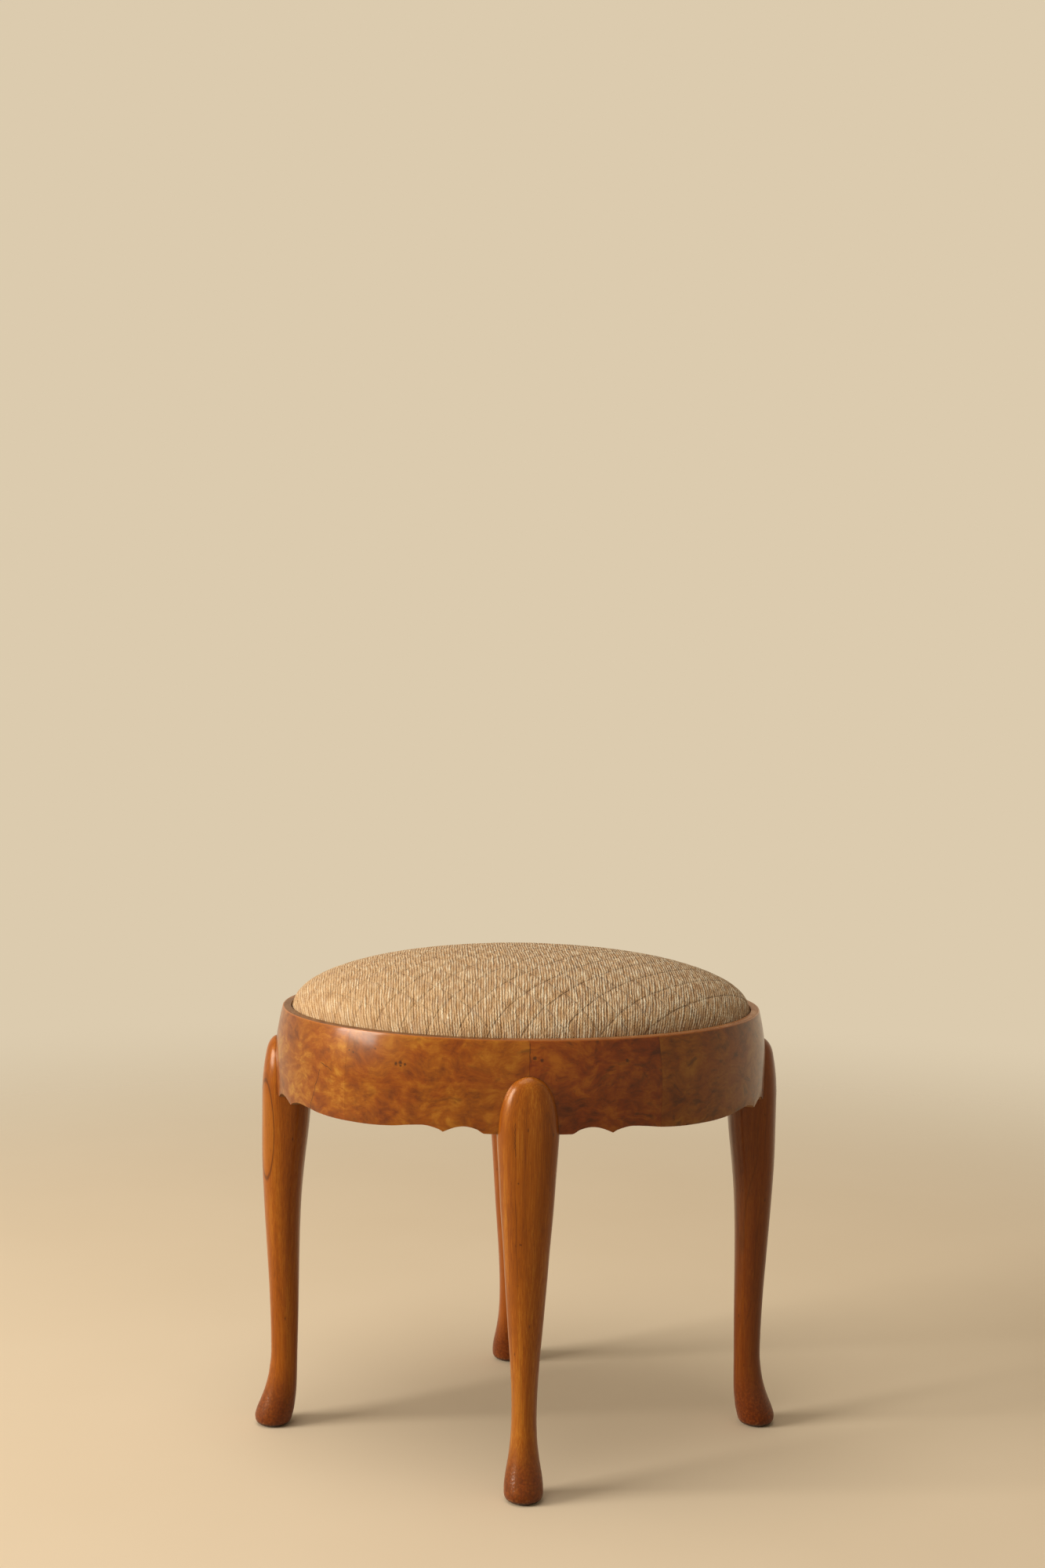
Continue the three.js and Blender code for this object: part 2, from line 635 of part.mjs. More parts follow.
const longPlaces = LONG_STRAP_SHARES.map((share) => share * WEBBED_HALF_DEPTH);
const crossPlaces = CROSS_STRAP_SHARES.map((share) => share * WEBBED_HALF_LENGTH);

longPlaces.forEach((y, i) => {
  const reach = strapReach(y, WEBBED_HALF_LENGTH, WEBBED_HALF_DEPTH);
  const over = crossPlaces.filter((_, j) => (i + j) % 2 === 0);
  addPiece(`webbing_long_${i + 1}`, strapGeometry(reach, over).translate(0, y, 0), JUTE());
});

crossPlaces.forEach((x, j) => {
  const reach = strapReach(x, WEBBED_HALF_DEPTH, WEBBED_HALF_LENGTH);
  const over = longPlaces.filter((_, i) => (i + j) % 2 === 1);
  const strap = strapGeometry(reach, over).rotateZ(Math.PI / 2);
  addPiece(`webbing_cross_${j + 1}`, strap.translate(x, 0, 0), JUTE());
});

addPiece("hessian", seatSolid([
  seatRing(HESSIAN_INSET, HESSIAN_BOTTOM),
  seatRing(HESSIAN_INSET, HESSIAN_BOTTOM + HESSIAN_THICKNESS),
]), JUTE());

addPiece("stuffing_pad", seatSolid(crownRings(PAD_DEPTH, PAD_BOTTOM, INNER_CROWN_RINGS)), STUFFING());

addPiece("wadding", seatSolid([
  ...crownRings(WADDING_INSIDE, PAD_BOTTOM, INNER_CROWN_RINGS).reverse(),
  ...crownRings(WADDING_INSIDE, WADDING_BOTTOM, 1),
  ...crownRings(WADDING_DEPTH, WADDING_BOTTOM, CROWN_RINGS),
]), WADDING());

// The cover runs over the dome, down the edge of the seat rails and under them.
addPiece("seat_cover", seatSolid([
  ...crownRings(COVER_THICKNESS, CROWN_SPRINGING, CROWN_RINGS).reverse(),
  seatRing(COVER_INSET + COVER_THICKNESS, COVER_BOTTOM + COVER_THICKNESS),
  seatRing(COVER_INSET + COVER_TURN_UNDER, COVER_BOTTOM + COVER_THICKNESS),
  seatRing(COVER_INSET + COVER_TURN_UNDER, COVER_BOTTOM),
  seatRing(COVER_INSET, COVER_BOTTOM),
  ...crownRings(0, CROWN_SPRINGING, CROWN_RINGS),
]), COVER_CLOTH());

const dustInset = RAIL_THICKNESS + DUST_COVER_MARGIN;
addPiece("dust_cover", seatSolid([
  seatRing(dustInset, COVER_BOTTOM - SEAM - DUST_COVER_THICKNESS),
  seatRing(dustInset, COVER_BOTTOM - SEAM),
]), CAMBRIC());

export default stool;
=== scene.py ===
# Oval drum stool with a domed drop-in seat.
# The frame's axes, in metres: +Z up, the long axis along X, the front towards -Y, the floor at zero.
# Sizes below are in millimetres, unless a comment says metres.

import bmesh
import bpy
import numpy as np
from mathutils import Euler, Matrix, Vector


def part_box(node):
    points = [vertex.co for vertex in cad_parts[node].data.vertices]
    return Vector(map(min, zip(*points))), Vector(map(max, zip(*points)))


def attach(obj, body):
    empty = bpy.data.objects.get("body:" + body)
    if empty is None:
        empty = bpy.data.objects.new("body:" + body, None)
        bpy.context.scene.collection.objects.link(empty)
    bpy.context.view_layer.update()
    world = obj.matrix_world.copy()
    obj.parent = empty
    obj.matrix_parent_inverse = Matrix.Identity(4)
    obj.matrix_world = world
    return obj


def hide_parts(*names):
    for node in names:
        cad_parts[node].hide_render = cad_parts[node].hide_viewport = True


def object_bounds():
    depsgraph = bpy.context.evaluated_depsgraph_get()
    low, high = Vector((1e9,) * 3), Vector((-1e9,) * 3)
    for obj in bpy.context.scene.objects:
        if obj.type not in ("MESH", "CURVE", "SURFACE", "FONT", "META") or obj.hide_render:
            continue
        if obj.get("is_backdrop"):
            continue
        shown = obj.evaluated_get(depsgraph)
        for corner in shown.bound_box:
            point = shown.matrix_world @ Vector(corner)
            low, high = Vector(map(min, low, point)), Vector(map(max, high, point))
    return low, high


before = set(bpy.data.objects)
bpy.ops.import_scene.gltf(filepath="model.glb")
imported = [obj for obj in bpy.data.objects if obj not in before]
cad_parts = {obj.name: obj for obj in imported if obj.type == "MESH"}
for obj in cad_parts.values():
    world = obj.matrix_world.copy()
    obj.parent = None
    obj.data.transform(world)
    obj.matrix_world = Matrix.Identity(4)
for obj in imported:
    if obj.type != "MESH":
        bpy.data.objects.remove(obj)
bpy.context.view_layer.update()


# Frieze rails. Four curved rails of steamed beech, bandsawn to the oval and butted behind the legs,
# which straddle the joints. Their outer face is the ground for the veneer, and a rebate along the
# inner top edge carries the seat.

HALF_LENGTH = 247
HALF_DEPTH = 199.5
RIM_HEIGHT = 433
FRIEZE_BOTTOM = 345.5
FACE_SPRINGING = 388  # above this height the face rounds in to the rim
RIM_INSET = 7
FACE_ROUNDING = 1.6
FACE_BATTER = 0.7  # how far the face leans in at its lower edge
RAIL_THICKNESS = 26
RAIL_TOP = 428.9
RAIL_END_GAP = 0.1
SEAT_LEDGE = 409
LIP_INSET = 15.2
VENEER_THICKNESS = 1
GLUE_LINE = 0.08
RAIL_ARRIS = 0.8
ARC_MIDDLE = 0.29  # how far along both of its sides the middle of a rounded corner lies
CRISP_TURN = 0.6  # in radians: an edge that turns by more stays crisp

# lower edge, by distance along the oval from the middle of a leg
SCALLOP_FLAT = 39.4
SCALLOP_CUSP = 80.4
SCALLOP_RISE = 6.2
SCALLOP_EASE = 0.2  # the share of a scallop over which it leaves the flat
SHOULDER_RISE = 5.2
SHOULDER_PLACES = (0, 0.04, 0.1, 0.16, 0.2, 0.34, 0.56, 0.84, 1)
SHOULDER_SHARES = (0, 0.4, 0.74, 0.95, 1, 0.8, 0.28, 0.02, 0)
# steps of the mesh along the flat, the scallop and the shoulder; the fine ones run on past the cusp
FLAT_STEP = 5.63
SCALLOP_STEP = 1.64
SHOULDER_STEP = 5
PAST_CUSP = 20

LEG_SIDES = ("right", "back", "left", "front")

turns = np.linspace(0, 2 * np.pi, 7201)
steps = np.hypot(np.diff(HALF_LENGTH * np.cos(turns)), np.diff(HALF_DEPTH * np.sin(turns)))
DISTANCE_AT_TURN = np.concatenate([[0], np.cumsum(steps)])
PERIMETER = DISTANCE_AT_TURN[-1]
QUARTER = PERIMETER / 4


def turn_at(distance):
    """The oval's own angle at a distance along its face, counted from the right-hand leg."""
    whole, part = np.divmod(distance, PERIMETER)
    return 2 * np.pi * whole + np.interp(part, DISTANCE_AT_TURN, turns)


def through(places, values, at):
    """A smooth curve through given points, which overshoots none of them."""
    places, values, at = (np.asarray(item, float) for item in (places, values, at))
    rise = np.diff(values) / np.diff(places)
    product = rise[:-1] * rise[1:]
    total = np.where(product > 0, rise[:-1] + rise[1:], 1)
    inner = np.where(product > 0, 2 * product / total, 0)
    slope = np.concatenate([rise[:1], inner, rise[-1:]])
    step = np.clip(np.searchsorted(places, at, side="right") - 1, 0, len(rise) - 1)
    width = places[step + 1] - places[step]
    share = (at - places[step]) / width
    rest = 1 - share
    return (
        (1 + 2 * share) * rest**2 * values[step]
        + share * rest**2 * width * slope[step]
        + share**2 * (3 - 2 * share) * values[step + 1]
        - share**2 * rest * width * slope[step + 1]
    )


def face_inset(height):
    """How far the frieze's face stands inside the oval."""
    above = np.clip((height - FACE_SPRINGING) / (RIM_HEIGHT - FACE_SPRINGING), 0, 1)
    below = np.clip((FACE_SPRINGING - height) / (FACE_SPRINGING - FRIEZE_BOTTOM), 0, 1)
    return RIM_INSET * above**FACE_ROUNDING + FACE_BATTER * below**2


def lower_edge(distance):
    """Height of the scalloped edge at a distance along the oval."""
    along = distance % QUARTER
    from_leg = min(along, QUARTER - along)
    if from_leg <= SCALLOP_FLAT:
        return FRIEZE_BOTTOM
    if from_leg <= SCALLOP_CUSP:
        share = (from_leg - SCALLOP_FLAT) / (SCALLOP_CUSP - SCALLOP_FLAT)
        ease = min(1, share / SCALLOP_EASE)
        return FRIEZE_BOTTOM + SCALLOP_RISE * np.sin(np.pi * share) * ease**2 * (3 - 2 * ease)
    share = (from_leg - SCALLOP_CUSP) / (QUARTER / 2 - SCALLOP_CUSP)
    return FRIEZE_BOTTOM + SHOULDER_RISE * float(through(SHOULDER_PLACES, SHOULDER_SHARES, share))


def columns(start, end):
    """Places along the oval from a start to an end, closer together along the scallops."""
    marks = np.concatenate([
        np.arange(0, SCALLOP_FLAT, FLAT_STEP),
        np.arange(SCALLOP_FLAT, SCALLOP_CUSP + PAST_CUSP, SCALLOP_STEP),
        np.arange(SCALLOP_CUSP + PAST_CUSP + 1, QUARTER / 2, SHOULDER_STEP),
    ])
    one_leg = np.concatenate([-marks[:0:-1], marks])
    places = np.concatenate([leg * QUARTER + one_leg for leg in range(-1, 6)])
    inside = places[(places > start + 1) & (places < end - 1)]
    return np.concatenate([[start], inside, [end]])


def loft(rings):
    """Points and faces of a closed skin through rings of equal count, capped at both ends."""
    rings = np.asarray(rings, float)
    index = np.arange(rings.shape[0] * rings.shape[1]).reshape(rings.shape[:2])
    low, high = index[:-1], index[1:]
    quads = np.stack([low, np.roll(low, -1, 1), np.roll(high, -1, 1), high], -1)
    return rings.reshape(-1, 3), [*quads.reshape(-1, 4).tolist(), index[0].tolist(), index[-1].tolist()]


def softened(outline, corners, radius):
    """An outline whose numbered corners are rounded off, each by three points."""
    outline = np.asarray(outline, float)
    points = []
    for place, corner in enumerate(outline):
        if place not in corners:
            points.append(corner)
            continue
        before = outline[place - 1] - corner
        after = outline[(place + 1) % len(outline)] - corner
        before *= radius / np.hypot(*before)
        after *= radius / np.hypot(*after)
        points += [corner + before, corner + ARC_MIDDLE * (before + after), corner + after]
    return points


def sweep(distances, section):
    """A loft round the oval, through the section's points of inset and height at each distance."""
    rings = []
    for distance in distances:
        inset, height = np.transpose(section(distance))
        turn = turn_at(distance)
        across = (HALF_LENGTH - inset) * np.cos(turn)
        away = (HALF_DEPTH - inset) * np.sin(turn)
        rings.append(np.stack([across, away, height], 1))
    return loft(rings)


def add_piece(name, skin, material, crisp=CRISP_TURN):
    """A smooth-shaded piece from points in millimetres, with its crisp edges kept."""
    points, faces = skin
    mesh = bpy.data.meshes.new(name)
    mesh.from_pydata((np.asarray(points) / 1000).tolist(), [], faces)
    shape = bmesh.new()
    shape.from_mesh(mesh)
    bmesh.ops.recalc_face_normals(shape, faces=shape.faces)
    shape.to_mesh(mesh)
    shape.free()
    mesh.shade_smooth()
    mesh.set_sharp_from_angle(angle=crisp)
    mesh.materials.append(material)
    piece = bpy.data.objects.new(name, mesh)
    bpy.context.scene.collection.objects.link(piece)
    return piece


def fit(piece, body, slot, *nodes):
    """The piece rides on a body and stands for CAD nodes, which it hides; the slot is not used."""
    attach(piece, body)
    if nodes:
        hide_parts(*nodes)


def linear(code):
    """The linear colour of an sRGB hex value."""
    parts = [int(code[place:place + 2], 16) / 255 for place in (1, 3, 5)]
    return [*(part / 12.92 if part <= 0.04045 else ((part + 0.055) / 1.055) ** 2.4 for part in parts), 1]


def start_material(name):
    """A new material with an empty node tree."""
    material = bpy.data.materials.new(name)
    material.use_nodes = True
    material.node_tree.nodes.clear()
    return material


def put(material, kind, inputs=(), out=0, stops=(), **settings):
    """Adds a node with its settings and its inputs' values or links, and gives one of its outputs."""
    tree = material.node_tree
    added = tree.nodes.new("ShaderNode" + kind)
    for name, value in settings.items():
        setattr(added, name, value)
    for name, value in dict(inputs).items():
        if isinstance(value, bpy.types.NodeSocket):
            tree.links.new(value, added.inputs[name])
        else:
            added.inputs[name].default_value = value
    for place, (position, colour) in enumerate(stops):
        elements = added.color_ramp.elements
        stop = elements[place] if place < len(elements) else elements.new(position)
        stop.position = position
        stop.color = colour
    return added.outputs[out] if len(added.outputs) else None


def in_millimetres(material):
    """The place on the stool, in millimetres."""
    metres = put(material, "TexCoord", out="Object")
    return put(material, "Mapping", {"Vector": metres, "Scale": (1000,) * 3})


# Steamed beech, bare from the saw or the plane: a dull pinkish tan with short dark flecks along the
# grain, and faint upright tool marks. The fibres, 1.7 mm wide and 33 mm long, lie level.
def bare_beech(name):
    material = start_material(name)
    place = in_millimetres(material)
    grain_place = put(material, "Mapping", {"Vector": place, "Scale": (0.05, 0.05, 1)})
    grain = put(material, "TexNoise", {"Vector": grain_place, "Scale": 0.6, "Detail": 5})
    fleck_place = put(material, "Mapping", {"Vector": place, "Scale": (0.15, 0.15, 3)})
    flecks = put(material, "TexNoise", {"Vector": fleck_place, "Scale": 1.1, "Detail": 1})
    fleck = put(material, "MapRange", {"Value": flecks, "From Min": 0.6, "From Max": 0.68})
    clouds = put(material, "TexNoise", {"Vector": place, "Scale": 0.012, "Detail": 3})
    wood = put(material, "ValToRGB", {"Fac": grain}, stops=[
        (0.32, linear("#8f6540")), (0.52, linear("#ad8257")), (0.7, linear("#c39a6c")),
    ])
    aged = put(material, "MixRGB", {"Fac": clouds, "Color1": wood, "Color2": linear("#94683c")})
    colour = put(material, "MixRGB", {"Fac": fleck, "Color1": aged, "Color2": linear("#6b4526")})
    saw = put(material, "TexWave", {"Vector": place, "Scale": 0.16, "Distortion": 1.5, "Detail": 1})
    rough = put(material, "MapRange", {"Value": grain, "To Min": 0.62, "To Max": 0.8})
    bump = put(material, "Bump", {"Height": saw, "Strength": 0.25, "Distance": 0.0003})
    shader = put(material, "BsdfPrincipled", {
        "Base Color": colour, "Roughness": rough, "Normal": bump, "IOR": 1.5,
    })
    put(material, "OutputMaterial", {"Surface": shader})
    return material


def rail_section(distance):
    """Inset and height round a rail: the face up to the top, the rebate, and the back down."""
    edge = lower_edge(distance)
    heights = np.concatenate([[edge], np.linspace(FACE_SPRINGING, RAIL_TOP, 8)])
    face = [(face_inset(height) + VENEER_THICKNESS + GLUE_LINE, height) for height in heights]
    rebate = [(LIP_INSET, RAIL_TOP), (LIP_INSET, SEAT_LEDGE)]
    back = [(RAIL_THICKNESS, SEAT_LEDGE), (RAIL_THICKNESS, edge)]
    return softened([*face, *rebate, *back], (len(face) + 2, len(face) + 3), RAIL_ARRIS)


rail_beech = bare_beech("steamed_beech_bandsawn")
for leg, side in enumerate(LEG_SIDES):
    name = f"frieze_rail_{side}_to_{LEG_SIDES[(leg + 1) % 4]}"
    places = columns(leg * QUARTER + RAIL_END_GAP, (leg + 1) * QUARTER - RAIL_END_GAP)
    fit(add_piece(name + "_dressed", sweep(places, rail_section), rail_beech), "frame", "beech", name)


# Burr veneer. Eight leaves of burr walnut about a millimetre thick, laid on the rails with hide glue
# and butted at upright joints, their lower edge sawn to the scallops. They are French polished and
# worn to bare, brighter wood along the rim.

LEAF_ARRIS = 0.35
ARRIS_HEIGHT = 432.5
# where the leaves meet, in quarters of the way round from the right-hand leg
LEAF_JOINTS = (0, 0.5, 1, 1.5, 2, 2.476, 3, 3.37, 4)
JOINT_GAP = 0.12
# dark, middle and light tone of each leaf, from the right-hand leg round the back to the left and front
LEAF_TONES = (
    ("#743408", "#9e5310", "#b87429"),
    ("#76360a", "#a05611", "#bb782c"),
    ("#77370a", "#a35811", "#bd7a2e"),
    ("#79390b", "#a65b12", "#c07e31"),
    ("#783808", "#a45a0b", "#c8892e"),
    ("#703306", "#9e560a", "#bc7a20"),
    ("#551b02", "#914105", "#b36614"),
    ("#5e2c06", "#9a560c", "#b07322"),
)
# a leaf and the next of one number are cut from neighbouring slices, so their figure runs on
LEAF_FLITCH = (1, 2, 3, 4, 5, 5, 5, 6)
FLITCH_STEP = (37, 91, 53)
# small dark knots on a leaf: place and radius
LEAF_KNOTS = {
    6: (
        ((-123.5, -171.1, 405.8), 1.5), ((-119.3, -172.8, 407), 1.7), ((-114.8, -174.9, 405.8), 1.4),
        ((-119.1, -173.3, 404.3), 1.1), ((-168, -142.6, 413), 0.8), ((-164.3, -146, 411.5), 1),
        ((-143.1, -158.6, 417.2), 0.9),
    ),
    7: (((4.8, -196.1, 416.5), 1.8), ((11.5, -196.3, 414.5), 1.5), ((91.9, -182.4, 412.2), 1.8)),
}
# hair cracks on a leaf, from a place to a place
LEAF_CRACKS = {
    5: (
        ((-196.4, -120.9, 390.5), (-207.2, -107.8, 347)),
        ((-196.4, -120.3, 397), (-184.6, -132.4, 390.8)),
    ),
    6: (((-171.9, -135.6, 431), (-176.5, -139.5, 413)),),
    7: (((0.6, -192.8, 431), (0.6, -197, 411)),),
    8: (((223.2, -75.4, 424.5), (224, -76.4, 418)),),
}
CRACK_WANDER = 2
FIGURE_SWAY = 34
WORN_RIM = 431.7
# painted shade in close corners, as where the knees meet the frieze: how far it reaches and its colour
CORNER_SHADE_REACH = 0.006  # metres
CORNER_SHADE = "#241004"
POLISH_TINT = "#ffd29a"  # old polish mirrors the light a little warmer


def hair_crack(material, place, start, end):
    """A mask for a crack that wanders from a place to a place, a third of a millimetre wide."""
    start, end = np.array(start, float), np.array(end, float)
    half = np.linalg.norm(end - start) / 2
    along = (end - start) / (2 * half)
    outward = np.array([start[0], start[1], 0]) / np.hypot(*start[:2])
    aside = np.cross(along, outward)
    from_start = put(material, "VectorMath", {0: place, 1: start}, operation="SUBTRACT")
    run = put(material, "VectorMath", {0: from_start, 1: along}, out="Value", operation="DOT_PRODUCT")
    off = put(material, "VectorMath", {0: from_start, 1: aside}, out="Value", operation="DOT_PRODUCT")
    wobble = put(material, "TexNoise", {"Vector": place, "Scale": 0.12, "Detail": 2})
    shift = put(material, "MapRange", {"Value": wobble, "To Min": -CRACK_WANDER, "To Max": CRACK_WANDER})
    strayed = put(material, "Math", {0: off, 1: shift}, operation="ADD")
    away = put(material, "Math", {0: strayed}, operation="ABSOLUTE")
    thin = put(material, "MapRange", {
        "Value": away, "From Min": 0.15, "From Max": 0.5, "To Min": 0.8, "To Max": 0})
    from_middle = put(material, "Math", {0: run, 1: half}, operation="SUBTRACT")
    outside = put(material, "Math", {0: from_middle}, operation="ABSOLUTE")
    within = put(material, "MapRange", {
        "Value": outside, "From Min": half - 2, "From Max": half, "To Min": 1, "To Max": 0})
    return put(material, "Math", {0: thin, 1: within}, operation="MULTIPLY")


def knot_spot(material, place, ragged, knot, radius):
    """A mask for a small dark knot with a ragged edge."""
    away = put(material, "VectorMath", {0: place, 1: knot}, out="Value", operation="DISTANCE")
    frayed = put(material, "Math", {0: ragged, 1: 3, 2: away}, operation="MULTIPLY_ADD")
    return put(material, "MapRange", {
        "Value": frayed, "From Min": radius + 0.9, "From Max": radius + 2, "To Min": 0.85, "To Max": 0})


def darkest(material, masks):
    """The strongest of several masks at each place."""
    strongest = masks[0]
    for mask in masks[1:]:
        strongest = put(material, "Math", {0: strongest, 1: mask}, operation="MAXIMUM")
    return strongest


def with_corner_shade(material, clean, closed, clear, strength):
    """A colour darkened by painted shade in close corners, as where the knees meet the frieze."""
    corner = put(material, "AmbientOcclusion", {"Distance": CORNER_SHADE_REACH}, out="AO", samples=6)
    corner_darkness = put(material, "MapRange", {
        "Value": corner, "From Min": closed, "From Max": clear, "To Min": strength, "To Max": 0})
    return put(material, "MixRGB", {"Fac": corner_darkness, "Color1": clean, "Color2": linear(CORNER_SHADE)})


# Burr walnut, sliced and French polished: cloudy golden and red brown with soft dark mottles, wisps of
# wavy fibre and small dark knots, under a clear gloss. Painted shade darkens it round the knees.
def burr_walnut(leaf, tones):
    material = start_material(f"burr_walnut_french_polished_{leaf}")
    dark, middle, light = map(linear, tones)
    still = in_millimetres(material)
    slice_place = [step * LEAF_FLITCH[leaf - 1] for step in FLITCH_STEP]
    place = put(material, "Mapping", {"Vector": still, "Location": slice_place})
    # the fibres sway over 40 mm
    sway = put(material, "TexNoise", {"Vector": place, "Scale": 0.025, "Detail": 2}, out="Color")
    shift = put(material, "VectorMath", {0: sway, 1: (0.5,) * 3}, operation="SUBTRACT")
    reach = put(material, "VectorMath", {0: shift, "Scale": FIGURE_SWAY}, operation="SCALE")
    bent = put(material, "VectorMath", {0: place, 1: reach}, operation="ADD")
    # clouds of 45 mm, mottles 12 mm long and 8 mm high, wisps 10 mm long and 1.3 mm wide, and fibres of
    # 1.2 mm with finer ones in them
    clouds = put(material, "TexNoise", {"Vector": place, "Scale": 0.022, "Detail": 4, "Roughness": 0.6})
    mottle_place = put(material, "Mapping", {"Vector": bent, "Scale": (0.08, 0.08, 0.13)})
    mottles = put(material, "TexNoise", {"Vector": mottle_place, "Scale": 1, "Detail": 4, "Roughness": 0.6})
    wisp_place = put(material, "Mapping", {"Vector": bent, "Scale": (0.1, 0.1, 0.75)})
    wisps = put(material, "TexNoise", {"Vector": wisp_place, "Scale": 1, "Detail": 4, "Roughness": 0.6})
    fibres = put(material, "TexNoise", {"Vector": bent, "Scale": 0.8, "Detail": 3})
    fine = put(material, "MixRGB", {"Fac": 0.3, "Color1": wisps, "Color2": fibres})
    cloudy = put(material, "MixRGB", {"Fac": 0.5, "Color1": clouds, "Color2": mottles})
    figure = put(material, "MixRGB", {"Fac": 0.17, "Color1": cloudy, "Color2": fine})
    wood = put(material, "ValToRGB", {"Fac": figure}, stops=[(0.37, dark), (0.5, middle), (0.62, light)])
    # red patches of 27 mm
    patches = put(material, "TexNoise", {"Vector": bent, "Scale": 0.037, "Detail": 3})
    redness = put(material, "MapRange", {
        "Value": patches, "From Min": 0.47, "From Max": 0.6, "To Max": 0.8})
    reddened = put(material, "MixRGB", {
        "Fac": redness, "Color1": wood, "Color2": (0.86, 0.66, 0.5, 1)}, blend_type="MULTIPLY")
    # painted shade darkens the leaves towards the right, the side turned from the window's light; they are
    # also darker towards the left end
    axes = put(material, "SeparateXYZ", {"Vector": still}).node.outputs
    painted_shade_right = put(material, "MapRange", {
        "Value": axes["X"], "From Min": -60, "From Max": 170, "To Min": 1, "To Max": 0.82})
    darker_left_end = put(material, "MapRange", {
        "Value": axes["X"], "From Min": -240, "From Max": -180, "To Min": 0.8, "To Max": 1})
    shade = put(material, "Math", {0: painted_shade_right, 1: darker_left_end}, operation="MULTIPLY")
    shaded = put(material, "VectorMath", {0: reddened, "Scale": shade}, operation="SCALE")
    # soft dark blotches 16 mm apart along the leaf and 7 mm up it, and pips under a millimetre wide,
    # which are drawn a little over a millimetre so that they show
    blotch_place = put(material, "Mapping", {"Vector": bent, "Scale": (0.7, 0.7, 1.5)})
    blotches = put(material, "TexNoise", {
        "Vector": blotch_place, "Scale": 0.09, "Detail": 3, "Roughness": 0.55})
    crowd = put(material, "MapRange", {
        "Value": axes["X"], "From Min": -150, "From Max": 60, "To Min": 0.2, "To Max": 0.6})
    blotch = put(material, "MapRange", {
        "Value": blotches, "From Min": 0.57, "From Max": 0.7, "To Max": crowd})
    pips = put(material, "TexVoronoi", {"Vector": bent, "Scale": 0.16, "Randomness": 1})
    pip = put(material, "MapRange", {
        "Value": pips, "From Min": 0.04, "From Max": 0.14, "To Min": 0.4, "To Max": 0})
    masks = [blotch, pip]
    masks += [knot_spot(material, still, fibres, knot, radius) for knot, radius in LEAF_KNOTS.get(leaf, ())]
    masks += [hair_crack(material, still, start, end) for start, end in LEAF_CRACKS.get(leaf, ())]
    marks = darkest(material, masks)
    spotted = put(material, "MixRGB", {"Fac": marks, "Color1": shaded, "Color2": linear("#351303")})
    # rubbed through to bare wood along the rim
    wear_and_flat_light = put(material, "Math", {0: fibres, 1: 1.2, 2: axes["Z"]}, operation="MULTIPLY_ADD")
    worn = put(material, "MapRange", {
        "Value": wear_and_flat_light, "From Min": WORN_RIM, "From Max": WORN_RIM + 1, "To Max": 0.6})
    bared = put(material, "MixRGB", {"Fac": worn, "Color1": spotted, "Color2": linear("#bd6d2b")})
    # painted shade where the knees close in on the frieze
    colour = with_corner_shade(material, bared, 0.48, 0.85, 0.95)
    rough = put(material, "MapRange", {
        "Value": figure, "From Min": 0.35, "From Max": 0.65, "To Min": 0.38, "To Max": 0.3})
    bump = put(material, "Bump", {"Height": figure, "Strength": 0.06, "Distance": 0.0004})
    shader = put(material, "BsdfPrincipled", {
        "Base Color": colour, "Roughness": rough, "Normal": bump, "IOR": 1.4,
        "Specular Tint": linear(POLISH_TINT), "Coat Weight": 0.5, "Coat Roughness": 0.13, "Coat IOR": 1.45,
    })
    put(material, "OutputMaterial", {"Surface": shader})
    return material


def leaf_section(distance):
    """Inset and height round a leaf: the face up to the rim, and the glued side down."""
    edge = lower_edge(distance)
    upright = np.linspace(edge + 8, FACE_SPRINGING, 5)
    rounding = np.linspace(FACE_SPRINGING + 3, ARRIS_HEIGHT, 14)
    face = [(face_inset(height), height) for height in np.concatenate([[edge], upright, rounding])]
    back = [(inset + VENEER_THICKNESS, height) for inset, height in reversed(face)]
    return softened([*face, *back], (0, len(face) - 1), LEAF_ARRIS)


def between(joints, number):
    """Places along the oval for the piece of a number, from its joint to the next."""
    start = joints[number - 1] * QUARTER + JOINT_GAP / 2
    end = joints[number] * QUARTER - JOINT_GAP / 2
    return columns(start, end)


for leaf, tones in enumerate(LEAF_TONES, 1):
    skin = sweep(between(LEAF_JOINTS, leaf), leaf_section)
    piece = add_piece(f"burr_leaf_{leaf}", skin, burr_walnut(leaf, tones))
    fit(piece, "frame", "burr_walnut", f"burr_veneer_{leaf}")


# Rim lipping. Four curved strips of solid walnut glued on top of the rails, inside the veneer's edge,
# and butted at radial joints. The flat top is rubbed dull, and its edges are worn round.

LIPPING_BOTTOM = 429
LIPPING_ARRIS = 0.6
LIPPING_JOINTS = (-0.08, 0.92, 1.92, 2.92, 3.92)
# dark, middle and light tone of each strip; the second and third, towards the left, are darker, partly their
# own tone and partly painted shade of the gap beside the cushion
LIPPING_TONES = (
    ("#6d3d1a", "#97643a", "#b5825a"),
    ("#6a3c19", "#8f5d30", "#a97848"),
    ("#553012", "#764a21", "#926536"),
    ("#6f3f1b", "#9b6538", "#b98454"),
)
LIPPING_STRETCH = (1, 0.2, 1)  # the figure is drawn out where this is below 1, along the grain
RING_SPACING = 9  # between growth rings
FLECK_RADIUS = 0.9


